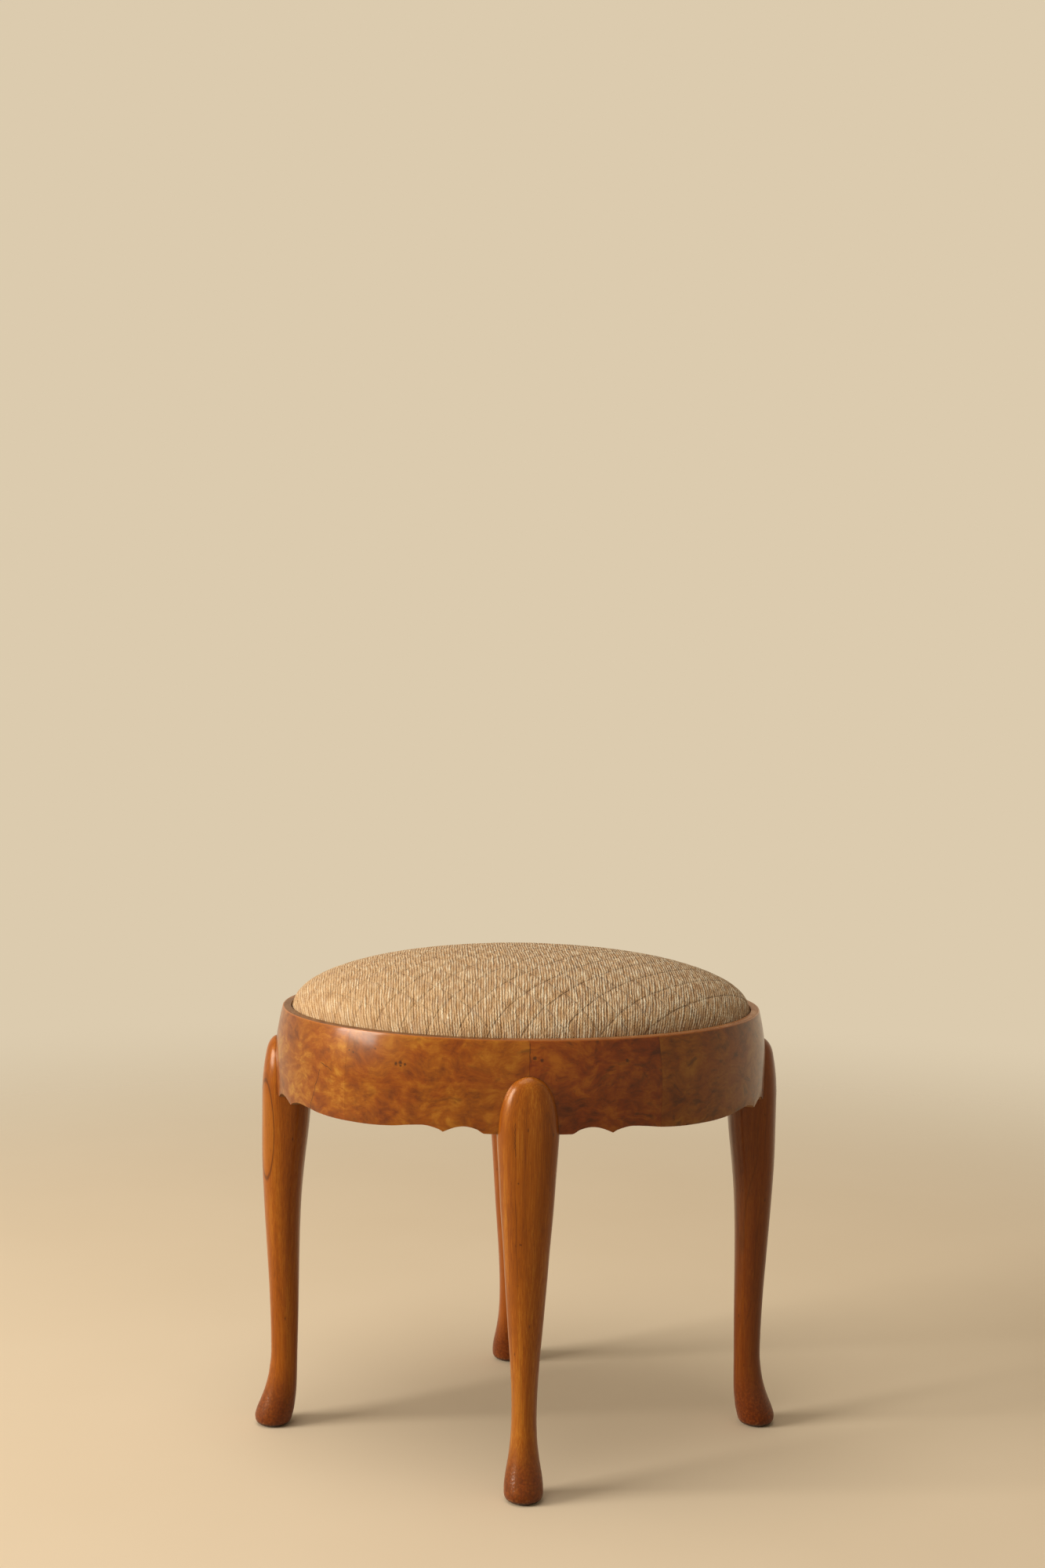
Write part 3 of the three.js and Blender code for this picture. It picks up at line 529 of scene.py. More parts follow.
def growth_loop(material, place, middle, spread):
    """Masks for the dark line where a growth ring runs out as a loop, and for the wood inside it."""
    from_middle = put(material, "VectorMath", {0: place, 1: middle}, operation="SUBTRACT")
    drawn_in = put(material, "VectorMath", {0: from_middle, 1: spread}, operation="DIVIDE")
    out = put(material, "VectorMath", {0: drawn_in}, out="Value", operation="LENGTH")
    past_line = put(material, "Math", {0: out, 1: 1}, operation="SUBTRACT")
    off_line = put(material, "Math", {0: past_line}, operation="ABSOLUTE")
    line = put(material, "MapRange", {
        "Value": off_line, "From Min": 0.02, "From Max": 0.07, "To Min": 0.6, "To Max": 0})
    inside = put(material, "MapRange", {
        "Value": out, "From Min": 0.7, "From Max": 1, "To Min": 0.35, "To Max": 0})
    return line, inside


# Straight-grained walnut: fine fibres and soft bands along the grain, a thin dark line at the end of
# some growth rings, short dark pores and a few pin flecks, with hair cracks and a ring that runs out
# as a loop where a piece has them. Gloss is the roughness of its smoothest and its coarsest wood.
def walnut_figure(name, tones, pith, stretch, gloss=(0.28, 0.38), cracks=(), pins=(), loops=()):
    material = start_material(name)
    dark, middle, light = map(linear, tones)
    still = in_millimetres(material)
    place = put(material, "VectorMath", {0: still, 1: pith}, operation="SUBTRACT")
    # growth rings round the pith, which sway slowly along the grain
    sway_scale = [0.02 * max(share, 0.25) for share in stretch]
    sway_place = put(material, "Mapping", {"Vector": place, "Scale": sway_scale})
    sway = put(material, "TexNoise", {"Vector": sway_place, "Scale": 1, "Detail": 2})
    across_grain = [float(share == 1) for share in stretch]
    level = put(material, "VectorMath", {0: place, 1: across_grain}, operation="MULTIPLY")
    radius = put(material, "VectorMath", {0: level}, out="Value", operation="LENGTH")
    bent = put(material, "Math", {0: sway, 1: FIGURE_SWAY, 2: radius}, operation="MULTIPLY_ADD")
    ring = put(material, "Math", {0: bent, 1: RING_SPACING / 2}, operation="PINGPONG")
    late = put(material, "MapRange", {"Value": ring, "From Min": 3.7, "From Max": 4.4})
    some = put(material, "MapRange", {
        "Value": sway, "From Min": 0.46, "From Max": 0.58, "To Min": 0.02, "To Max": 0.3})
    line = put(material, "Math", {0: late, 1: some}, operation="MULTIPLY")
    # fibres 1 mm wide and 30 mm long, in bands 9 mm wide
    fibre_place = put(material, "Mapping", {"Vector": place, "Scale": stretch})
    fibres = put(material, "TexNoise", {
        "Vector": fibre_place, "Scale": 1.1, "Detail": 4, "Roughness": 0.6})
    bands = put(material, "TexNoise", {"Vector": fibre_place, "Scale": 0.11, "Detail": 3})
    # pores 0.3 mm wide, drawn at 0.6 mm so that they show
    pore_scale = [1.7 * share**0.6 for share in stretch]
    pore_place = put(material, "Mapping", {"Vector": place, "Scale": pore_scale})
    pores = put(material, "TexNoise", {"Vector": pore_place, "Scale": 0.9, "Detail": 1})
    pore = put(material, "MapRange", {"Value": pores, "From Min": 0.62, "From Max": 0.72, "To Max": 0.28})
    # pin flecks 8 mm apart, in crowds of 30 mm
    fleck_place = put(material, "Mapping", {"Vector": place, "Scale": [share**0.3 for share in stretch]})
    flecks = put(material, "TexVoronoi", {"Vector": fleck_place, "Scale": 0.13})
    fleck = put(material, "MapRange", {
        "Value": flecks, "From Min": 0.04, "From Max": 0.12, "To Min": 0.75, "To Max": 0})
    crowds = put(material, "TexNoise", {"Vector": place, "Scale": 0.03, "Detail": 1})
    crowd = put(material, "MapRange", {"Value": crowds, "From Min": 0.47, "From Max": 0.57})
    flecked = put(material, "Math", {0: fleck, 1: crowd}, operation="MULTIPLY")
    figure = put(material, "MixRGB", {"Fac": 0.5, "Color1": bands, "Color2": fibres})
    wood = put(material, "ValToRGB", {"Fac": figure}, stops=[(0.26, dark), (0.5, middle), (0.74, light)])
    masks = [line, pore, flecked]
    for loop_middle, spread in loops:
        loop, inside = growth_loop(material, still, loop_middle, spread)
        wood = put(material, "MixRGB", {"Fac": inside, "Color1": wood, "Color2": light})
        masks.append(loop)
    masks += [hair_crack(material, still, start, end) for start, end in cracks]
    masks += [knot_spot(material, still, fibres, pin, FLECK_RADIUS) for pin in pins]
    marks = darkest(material, masks)
    colour = put(material, "MixRGB", {"Fac": marks, "Color1": wood, "Color2": linear("#3a1505")})
    rough = put(material, "MapRange", {
        "Value": figure, "From Min": 0.35, "From Max": 0.65, "To Min": gloss[1], "To Max": gloss[0]})
    bump = put(material, "Bump", {"Height": figure, "Strength": 0.06, "Distance": 0.0003})
    return material, colour, rough, bump


def lipping_section(_):
    """Inset and height round a strip of lipping."""
    outer = face_inset(LIPPING_BOTTOM) + VENEER_THICKNESS + GLUE_LINE
    top_outer = face_inset(ARRIS_HEIGHT) + VENEER_THICKNESS + GLUE_LINE
    outside = [(outer, LIPPING_BOTTOM), (top_outer, RIM_HEIGHT)]
    inside = [(LIP_INSET, RIM_HEIGHT), (LIP_INSET, LIPPING_BOTTOM)]
    return softened([*outside, *inside], (1, 2), LIPPING_ARRIS)


# Walnut, planed and waxed: paler and duller than the polished legs, with its grain from front to back.
for strip, tones in enumerate(LIPPING_TONES, 1):
    material, colour, rough, bump = walnut_figure(
        f"walnut_lipping_planed_waxed_{strip}", tones, (40 * strip, 25 * strip, 0), LIPPING_STRETCH,
        gloss=(0.36, 0.5))
    shader = put(material, "BsdfPrincipled", {
        "Base Color": colour, "Roughness": rough, "Normal": bump, "IOR": 1.5,
    })
    put(material, "OutputMaterial", {"Surface": shader})
    skin = sweep(between(LIPPING_JOINTS, strip), lipping_section)
    piece = add_piece(f"rim_lipping_{strip}_dressed", skin, material)
    fit(piece, "frame", "walnut", f"rim_lipping_{strip}")


# Legs. Each is cut from one piece of solid walnut: a forked top that straddles the rails, a rounded
# knee lapped over the frieze, a tapering shaft, a slim ankle and a small club foot. They are rasped and
# scraped to shape and French polished, and the feet are scuffed.

# height, half width
LEG_WIDTHS = np.array([
    (0, 12.6), (1, 14.6), (2.7, 16.6), (5.2, 18), (9, 18.5), (13.6, 18.4), (22, 17.5), (31, 15.9),
    (40, 14.4), (49, 13.25), (60, 12.35), (75, 11.9), (88, 12), (103, 12.45), (130, 14), (165, 16.75),
    (201, 19.4), (237, 21.9), (272, 24.7), (307, 26.9), (330, 28.4), (345.5, 29.2), (356, 28.7),
    (366.7, 27.7), (377.1, 25.6), (384.2, 23.2), (389.8, 20.3), (394.8, 16.4), (397.6, 12), (398.8, 9),
    (399.5, 6.4), (399.7, 5),
])
# height, face outwards and back inwards from the frieze's face
LEG_PROFILE = np.array([
    (0, 13.1, 12.1), (1, 15.1, 14.1), (2.7, 17, 16.4), (5.2, 18.4, 17.9), (9, 18.9, 19),
    (16, 17.2, 20.7), (25, 13.6, 21.9), (35, 9.8, 22.9), (45, 6.9, 23.3), (55, 4.9, 23.5),
    (75, 3, 23.7), (95, 3.3, 24.1), (114, 3.9, 24.4), (145, 5.4, 24.7), (175, 7.4, 25), (200, 9, 25.4),
    (220, 10.3, 26), (240, 11.4, 27), (259, 12.4, 28.5), (279, 13.1, 30.5), (298, 13.3, 32.7),
    (318, 13.3, 34.6), (337, 13.3, 35.8), (345.5, 13.3, 36), (358.5, 12.8, 36), (371.5, 11.5, 36),
    (381.3, 10, 36), (388.9, 8.5, 36), (394.3, 6.2, 36), (397.4, 3.8, 36), (398.9, 2.2, 36),
    (399.7, 0.8, 36),
])
# heights of the rings, closest at the foot and where the knee rounds over
LEG_RINGS = np.concatenate([
    np.linspace(0, 12, 13), np.linspace(15, 69, 19), np.linspace(75, 339, 45),
    np.linspace(345.5, 390, 16), np.linspace(392, 399, 8), [399.4, 399.7],
])
AROUND_LEG = 72
ANKLE_HEIGHT = 75
KNEE_SQUARENESS = 2.6
CHEEK_TOP = 401
FORK_GAP = 0.12
FORK_CUT_ALONG = 36  # the cut runs this far along the oval to both sides, past the leg
FORK_CUT_INWARD = 45
# the pith of the tree, outwards and aside of each leg's face
PITH_OUTWARD = 60
PITH_ASIDE = 46
LEG_STRETCH = (1, 1, 0.03)
LEG_TONES = {
    # the right-hand leg's tones are darker: painted shade for the leg turned from the window
    "right": ("#5a2203", "#7d3a08", "#9a5514"),
    "back": ("#7d380a", "#a5530e", "#c07226"),
    "left": ("#743405", "#a6580b", "#c67d22"),
    "front": ("#733406", "#a5590a", "#cf8a2c"),
}
FOOT_TONES = ("#521c05", "#6d2b09", "#8c4516")
# hair cracks on a leg, from a place to a place
LEG_CRACKS = {"front": (((-13.2, -212.8, 360), (-12.4, -212.8, 327)),)}
# pin flecks on a leg
LEG_FLECKS = {
    "front": (
        (-23.3, -212, 310.3), (-20.4, -212, 308.8), (-16.8, -212.5, 307.5), (-13.1, -212.5, 304.6),
        (-9.5, -212.5, 303.2), (-15.1, -210, 246), (-10.7, -210.5, 244), (-6.4, -210.5, 245.5),
        (-2.8, -210, 246.8), (-17.5, -207, 216.4), (-7.9, -207, 206.1),
    ),
}
# a growth ring that runs out as a loop on a leg: its middle and half sizes
LEG_LOOPS = {"left": (((-258, -22, 306), (11.5, 16, 54)),)}


def even_turns(count):
    """Angles in even steps round a full turn."""
    return np.linspace(0, 2 * np.pi, count, endpoint=False)


def leg_skin():
    """A leg with its face towards +X, x counted from the frieze's face."""
    widths = through(*LEG_WIDTHS.T, LEG_RINGS)
    faces = through(LEG_PROFILE[:, 0], LEG_PROFILE[:, 1], LEG_RINGS)
    backs = through(LEG_PROFILE[:, 0], LEG_PROFILE[:, 2], LEG_RINGS)
    turn = even_turns(AROUND_LEG)
    rings = []
    for height, width, face, back in zip(LEG_RINGS, widths, faces, backs):
        # round at the ankle, and squarer up to the knee
        share = np.clip((height - ANKLE_HEIGHT) / (FRIEZE_BOTTOM - ANKLE_HEIGHT), 0, 1)
        power = 2 / (2 + (KNEE_SQUARENESS - 2) * share**2)
        across = np.sign(np.cos(turn)) * np.abs(np.cos(turn)) ** power
        aside = np.sign(np.sin(turn)) * np.abs(np.sin(turn)) ** power
        level = np.full(AROUND_LEG, height)
        rings.append(np.stack([(face - back) / 2 + (face + back) / 2 * across, width * aside, level], 1))
    return loft(rings)


def fork_section(_):
    """Inset and height round what the fork straddles, and the room above its inner cheek."""
    heights = np.concatenate([[FRIEZE_BOTTOM], np.linspace(FACE_SPRINGING, RAIL_TOP, 10)])
    face = [(face_inset(height) - FORK_GAP, height) for height in heights]
    face[0] = (face[0][0], FRIEZE_BOTTOM - FORK_GAP)
    return [
        *face, (FORK_CUT_INWARD, RAIL_TOP), (FORK_CUT_INWARD, CHEEK_TOP),
        (RAIL_THICKNESS + FORK_GAP, CHEEK_TOP), (RAIL_THICKNESS + FORK_GAP, FRIEZE_BOTTOM - FORK_GAP),
    ]


def settle(piece):
    """Applies a piece's modifiers."""
    evaluated = piece.evaluated_get(bpy.context.evaluated_depsgraph_get())
    mesh = bpy.data.meshes.new_from_object(evaluated)
    piece.modifiers.clear()
    piece.data = mesh


def take_out(piece, cutter):
    """Cuts a solid out of a piece and deletes the cutter."""
    modifier = piece.modifiers.new("cut", "BOOLEAN")
    modifier.operation = "DIFFERENCE"
    modifier.solver = "EXACT"
    modifier.object = cutter
    settle(piece)
    piece.data.shade_smooth()
    piece.data.set_sharp_from_angle(angle=CRISP_TURN)
    bpy.data.objects.remove(cutter)


for leg, side in enumerate(LEG_SIDES):
    reach = (HALF_LENGTH, HALF_DEPTH)[leg % 2]
    stand = np.array(Matrix.Rotation(leg * np.pi / 2, 3, "Z"))
    pith = stand @ (reach + PITH_OUTWARD, PITH_ASIDE, 0)
    # Walnut, scraped and French polished: warm red brown under a gloss that wear has softened.
    material, colour, rough, bump = walnut_figure(
        f"walnut_scraped_french_polished_{side}", LEG_TONES[side], pith, LEG_STRETCH,
        cracks=LEG_CRACKS.get(side, ()), pins=LEG_FLECKS.get(side, ()), loops=LEG_LOOPS.get(side, ()))
    # The foot is redder and scuffed dull in patches of 2.4 mm, and the sole is chipped to pale wood
    # along its edge. Heights are in metres here.
    place = put(material, "TexCoord", out="Object")
    height = put(material, "SeparateXYZ", {"Vector": place}, out="Z")
    foot = put(material, "MapRange", {
        "Value": height, "From Min": 0.022, "From Max": 0.06, "To Min": 0.8, "To Max": 0})
    scuffs = put(material, "TexNoise", {"Vector": place, "Scale": 420, "Detail": 4})
    dirty = put(material, "ValToRGB", {"Fac": scuffs}, stops=[
        *zip((0.35, 0.52, 0.72), map(linear, FOOT_TONES)),
    ])
    worn = put(material, "MixRGB", {"Fac": foot, "Color1": colour, "Color2": dirty})
    low = put(material, "MapRange", {
        "Value": height, "From Min": 0.001, "From Max": 0.008, "To Min": 0.7, "To Max": 0})
    patch = put(material, "MapRange", {"Value": scuffs, "From Min": 0.55, "From Max": 0.62})
    chip = put(material, "Math", {0: low, 1: patch}, operation="MULTIPLY")
    chipped = put(material, "MixRGB", {"Fac": chip, "Color1": worn, "Color2": linear("#b08552")})
    # painted shade where the knee closes in on the frieze
    corner_shaded = with_corner_shade(material, chipped, 0.45, 0.82, 0.9)
    scuffed = put(material, "Math", {0: foot, 1: 0.15, 2: rough}, operation="MULTIPLY_ADD")
    dents = put(material, "Bump", {"Height": scuffs, "Strength": foot, "Distance": 0.0004, "Normal": bump})
    shader = put(material, "BsdfPrincipled", {
        "Base Color": corner_shaded, "Roughness": scuffed, "Normal": dents, "IOR": 1.4,
        "Specular Tint": linear(POLISH_TINT), "Coat Weight": 0.35, "Coat Roughness": 0.17,
        "Coat IOR": 1.45, "Coat Normal": dents,
    })
    put(material, "OutputMaterial", {"Surface": shader})
    points, faces = leg_skin()
    points[:, 0] += reach
    piece = add_piece(f"leg_{side}_dressed", (points @ stand.T, faces), material)
    fork_places = np.linspace(leg * QUARTER - FORK_CUT_ALONG, leg * QUARTER + FORK_CUT_ALONG, 25)
    take_out(piece, add_piece("fork", sweep(fork_places, fork_section), material))
    fit(piece, "frame", "walnut", f"leg_{side}")


# Leg screws. Two countersunk steel wood screws through the back of each leg, one into each rail end,
# driven with a flat blade and dulled to a brown grey.

# radius, and depth below the rim of the head
SCREW_PROFILE = (
    (0.02, 30), (0.6, 30), (1.1, 29), (2.25, 24), (2.25, 2.6), (4.1, 0.25), (4.2, 0), (3.6, -0.25),
    (0.02, -0.3),
)
AROUND_SCREW = 32
SCREW_SLOT = 1
SLOT_BOTTOM = 1.1
# the bar that cuts the slot reaches this far out over the head and this far above it
SLOT_BAR_REACH = 6
SLOT_BAR_ABOVE = 2
OUTWARD = ((1, 0, 0), (0, 1, 0), (-1, 0, 0), (0, -1, 0))


def node_box(node):
    """The lowest and highest corner of a CAD node, in millimetres."""
    return [np.array(corner) * 1000 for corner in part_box(node)]


def turned_rings(profile, base, aside, along, count):
    """Rings of a turned piece, from each one's radius and its distance along the piece."""
    turn = even_turns(count)
    up = np.cross(along, aside)
    rings = []
    for radius, run in profile:
        ring = np.outer(radius * np.cos(turn), aside) + np.outer(radius * np.sin(turn), up)
        rings.append(base + ring + np.asarray(along) * run)
    return rings


# Mild steel, turned and long oxidised: brown-grey metal with dull blooms of 2 mm and light tool marks.
screw_steel = start_material("mild_steel_turned_oxidised")
bloom = put(screw_steel, "TexNoise", {"Vector": in_millimetres(screw_steel), "Scale": 0.5, "Detail": 4})
steel = put(screw_steel, "ValToRGB", {"Fac": bloom}, stops=[
    (0.35, linear("#5a4a3c")), (0.55, linear("#86796a")), (0.7, linear("#a39a8c")),
])
dull = put(screw_steel, "MapRange", {"Value": bloom, "To Min": 0.3, "To Max": 0.6})
marks = put(screw_steel, "Bump", {"Height": bloom, "Strength": 0.2, "Distance": 0.0001})
shader = put(screw_steel, "BsdfPrincipled", {
    "Base Color": steel, "Metallic": 1, "Roughness": dull, "Normal": marks,
})
put(screw_steel, "OutputMaterial", {"Surface": shader})

for leg, side in enumerate(LEG_SIDES):
    outward = np.array(OUTWARD[leg])
    aside = np.cross((0, 0, 1), outward)
    for number in (1, 2):
        node = f"leg_screw_{side}_{number}"
        low, high = node_box(node)
        length = np.abs((high - low) @ outward)
        head = (low + high) / 2 - outward * length / 2
        profile = [(radius, min(depth, length)) for radius, depth in SCREW_PROFILE]
        rings = turned_rings(profile, head, aside, outward, AROUND_SCREW)
        piece = add_piece(node + "_dressed", loft(rings), screw_steel)
        # the slots stand as they came when the screws were tight
        angle = 0.7 * leg + 1.9 * number
        across = (np.cos(angle) * aside + np.sin(angle) * np.array([0, 0, 1])) * SLOT_BAR_REACH
        thick = np.cross(across, outward) / SLOT_BAR_REACH * SCREW_SLOT / 2
        corners = [across + thick, across - thick, -across - thick, -across + thick]
        ends = (-SLOT_BAR_ABOVE, SLOT_BOTTOM)
        bar = loft([[head + outward * deep + corner for corner in corners] for deep in ends])
        take_out(piece, add_piece("blade", bar, screw_steel))
        fit(piece, "frame", "screw_steel", node)


# Seat rails. Four curved beech rails, half-lapped and glued into an oval frame. The cushion is built
# on them and covers them, and the frame drops into the rebate of the frieze.

SEAT_RAILS = [f"seat_rail_{number}" for number in range(1, 5)]
seat_beech = bare_beech("steamed_beech_planed_seat_rails")
for node in SEAT_RAILS:
    for material_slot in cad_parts[node].material_slots:
        material_slot.material = seat_beech


# Webbing. Seven straps of jute webbing, 50 mm wide, strained across the seat frame and tacked to it,
# three long and four across, woven over and under one another.

WEBBING_WIDTH = 50
WEBBING_THICKNESS = 1.2
WEBBING_BOTTOM = 429.4
WEBBING_STEP = 1.5  # how far a strap climbs over another
STRAP_CLEARANCE = 0.3
STRAP_RAMP = 8  # how far beside the other strap it starts to climb
STRAP_RINGS = 90
# each strap's direction, along X or along Y
STRAPS = {f"webbing_long_{number}": 0 for number in range(1, 4)}
STRAPS.update({f"webbing_cross_{number}": 1 for number in range(1, 5)})


# Woven cloth: raised yarns at right angles with dark gaps between them, at a spacing in millimetres.
def woven(name, tones, spacing, roughness):
    material = start_material(name)
    dark, light = map(linear, tones)
    place = in_millimetres(material)
    axes = put(material, "SeparateXYZ", {"Vector": place}).node.outputs
    waves = []
    for axis in (0, 1):
        turned = put(material, "Math", {0: axes[axis], 1: np.pi / spacing}, operation="MULTIPLY")
        wave = put(material, "Math", {0: turned}, operation="SINE")
        waves.append(put(material, "Math", {0: wave}, operation="ABSOLUTE"))
    yarns = put(material, "Math", {0: waves[0], 1: waves[1]}, operation="MULTIPLY")
    clouds = put(material, "TexNoise", {"Vector": place, "Scale": 0.09, "Detail": 4})
    uneven = put(material, "Math", {0: yarns, 1: clouds}, operation="MULTIPLY")
    colour = put(material, "ValToRGB", {"Fac": uneven}, stops=[(0.04, dark), (0.5, light)])
    bump = put(material, "Bump", {"Height": yarns, "Strength": 0.6, "Distance": 0.0004})
    shader = put(material, "BsdfPrincipled", {
        "Base Color": colour, "Roughness": roughness, "Normal": bump, "Sheen Weight": 0.1,
        "Sheen Roughness": 0.5,
    })
    put(material, "OutputMaterial", {"Surface": shader})
    return material


# Jute, woven close: straw brown and matt, with a yarn every 1.6 mm.
webbing_jute = woven("jute_webbing_woven", ("#6d5230", "#c4a26c"), 1.6, 0.95)
centres = {node: np.mean(node_box(node), 0) for node in STRAPS}
for node, axis in STRAPS.items():
    low, high = node_box(node)
    reach = (high - low)[axis] / 2
    along = np.linspace(-reach, reach, STRAP_RINGS)
    rise = np.zeros_like(along)
    # it lies over every second strap of the other direction
    others = [other for other in STRAPS if STRAPS[other] != axis]
    for order, other in enumerate(others, int(node[-1]) - 1 + axis):
        if order % 2 == 0:
            away = np.abs(along - centres[other][axis]) - WEBBING_WIDTH / 2 - STRAP_CLEARANCE
            share = np.clip(1 - away / STRAP_RAMP, 0, 1)
            rise = np.maximum(rise, WEBBING_STEP * share * share * (3 - 2 * share))
    middle = centres[node][1 - axis]
    rings = []
    for forward, lift in zip(along, rise):
        ring = []
        for hand, up in ((-1, 0), (1, 0), (1, 1), (-1, 1)):
            sideways = middle + hand * WEBBING_WIDTH / 2
            height = WEBBING_BOTTOM + lift + up * WEBBING_THICKNESS
            ring.append((forward, sideways, height) if axis == 0 else (sideways, forward, height))
        rings.append(ring)
    piece = add_piece(node + "_strap", loft(rings), webbing_jute)
    fit(piece, "seat", "jute", node)


# Hessian. One oval of open jute cloth over the webbing, tacked along its edge, which keeps the
# stuffing from falling through.

HESSIAN_INSET = 27
HESSIAN_BOTTOM = 432.4
HESSIAN_TOP = 433.2
SHEET_SHARES = (0.02, 0.2, 0.4, 0.6, 0.75, 0.88, 0.96, 1)
AROUND_SEAT = 96


def oval_ring(half_length, half_depth, height):
    """A level oval of points."""
    turn = even_turns(AROUND_SEAT)
    level = np.full(AROUND_SEAT, height)
    return np.stack([half_length * np.cos(turn), half_depth * np.sin(turn), level], 1)


def oval_sheet(inset, bottom, top, sag=0):
    """A flat oval of cloth that hangs a little lower in the middle."""
    levels = [(bottom, share) for share in SHEET_SHARES] + [(top, share) for share in reversed(SHEET_SHARES)]
    return loft([
        oval_ring((HALF_LENGTH - inset) * share, (HALF_DEPTH - inset) * share, height - sag * (1 - share**2))
        for height, share in levels
    ])


# Jute, woven open: darker and coarser than the webbing, with a yarn every 2.2 mm.
hessian_jute = woven("jute_hessian_woven", ("#5f4728", "#b3915c"), 2.2, 0.95)
hessian = add_piece("hessian_cloth", oval_sheet(HESSIAN_INSET, HESSIAN_BOTTOM, HESSIAN_TOP), hessian_jute)
fit(hessian, "seat", "jute", "hessian")


# Stuffing. A domed pad of curled hair, teased and stitched down on the hessian, which gives the seat
# its crown.

SPRINGING = 429.1  # the dome springs from here
CROWN_HEIGHT = 58
CROWN_RINGS = 22
CROWN_STOP = 0.01  # in radians: the last ring stops just short of the top
COVER_INSET = 16.2
PAD_DEPTH = 8.2  # below the cushion's surface
PAD_BOTTOM = 433.6


def crown(depth, bottom):
    """Rings of the dome a depth below the cushion's surface, from a height up."""
    rise = CROWN_HEIGHT - depth
    start = np.arcsin((bottom - SPRINGING) / rise)
    rings = []
    for climb in np.linspace(start, np.pi / 2 - CROWN_STOP, CROWN_RINGS):
        half_length = (HALF_LENGTH - COVER_INSET - depth) * np.cos(climb)
        half_depth = (HALF_DEPTH - COVER_INSET - depth) * np.cos(climb)
        rings.append(oval_ring(half_length, half_depth, SPRINGING + rise * np.sin(climb)))
    return rings


# Loose fibre: tangled strands with dark hollows between them, at a spacing in millimetres that is
# coarser than a hair so that they show.
def loose_fibre(name, tones, spacing):
    material = start_material(name)
    dark, light = map(linear, tones)
    strands = put(material, "TexNoise", {
        "Vector": in_millimetres(material), "Scale": 1 / spacing, "Detail": 5, "Distortion": 3})
    colour = put(material, "ValToRGB", {"Fac": strands}, stops=[(0.35, dark), (0.65, light)])
    bump = put(material, "Bump", {"Height": strands, "Strength": 1, "Distance": 0.001})
    shader = put(material, "BsdfPrincipled", {
        "Base Color": colour, "Roughness": 1, "Normal": bump, "Sheen Weight": 0.2,
    })
    put(material, "OutputMaterial", {"Surface": shader})
    return material


# Horsehair, curled and teased: a springy dark brown tangle.
pad_hair = loose_fibre("curled_hair_teased", ("#3a2c1e", "#7d654a"), 4)
pad = add_piece("stuffing_hair", loft(crown(PAD_DEPTH, PAD_BOTTOM)), pad_hair)
fit(pad, "seat", "stuffing", "stuffing_pad")


# Wadding. A layer of white cotton wadding over the stuffing and down the frame's edge, which
# keeps the hair from working through the cover.

WADDING_INNER_DEPTH = 7.6
WADDING_OUTER_DEPTH = 2
WADDING_BOTTOM = 429.5

# Cotton, carded: soft, matt and creamy white.
wadding_cotton = loose_fibre("cotton_wadding_carded", ("#cfc6b2", "#efe9da"), 6)
inner_rings = crown(WADDING_INNER_DEPTH, WADDING_BOTTOM)
outer_rings = crown(WADDING_OUTER_DEPTH, WADDING_BOTTOM)
wadding = add_piece("wadding_layer", loft([*reversed(inner_rings), *outer_rings]), wadding_cotton)
fit(wadding, "seat", "wadding", "wadding")


# Seat cover. A cream chenille of cotton and wool, ribbed and crossed by a lattice of narrow diamonds,
# pulled over the dome and turned under the seat frame, where it is tacked. It is stretched smooth, and
# the stuffing lifts it a little between the lattice lines.

CLOTH_THICKNESS = 1.3
TURN_UNDER = 30
CELLS_ALONG = 64
CELLS_ACROSS = 52
SHOULDER_POWER = 2 / 2.27  # below 1 the dome is fuller at its shoulders than an ellipse
COVER_CROWN = 57.6
# depth inside the wall's line and height of the rows down the side and under the frame
SKIRT = (
    (0, 426), (0, 421), (0, 415.5), (0.1, 412.4), (0.8, 410.4), (2.4, 409.4), (6, 409.3), (14, 409.3),
    (22, 409.3), (TURN_UNDER, 409.3),
)
PRESSURE = 4
SWELL_STEPS = 20
SWELL_CAP = 0.002  # metres
HELD_BELOW = 0.4335  # metres
SMOOTHINGS = 6
RIB_SPACING = 2.6
RIB_DRIFT = 3
RIB_STRAIN = 0.6
DIAMOND_WIDTH = 35
DIAMOND_DEPTH = 45
LATTICE_PLACE = (17, -121)
LATTICE_SINK = 0.35
LATTICE_SPREAD = 2.6
# the lattice lines that run one way and the other: which way, how dark their painted groove shade is, and how
# deep
LATTICE_LINES = ((1, 0.38, 0.6), (-1, 0.45, 1))
INNER_RINGS = 20

dome_turns = np.linspace(np.pi / 2, 0, 600)
dome_reach = np.cos(dome_turns).clip(0) ** SHOULDER_POWER
dome_rise = np.sin(dome_turns) ** SHOULDER_POWER
mean_radius = (HALF_LENGTH + HALF_DEPTH) / 2 - COVER_INSET
dome_steps = np.hypot(mean_radius * np.diff(dome_reach), COVER_CROWN * np.diff(dome_rise))
dome_run = np.concatenate([[0], np.cumsum(dome_steps)])


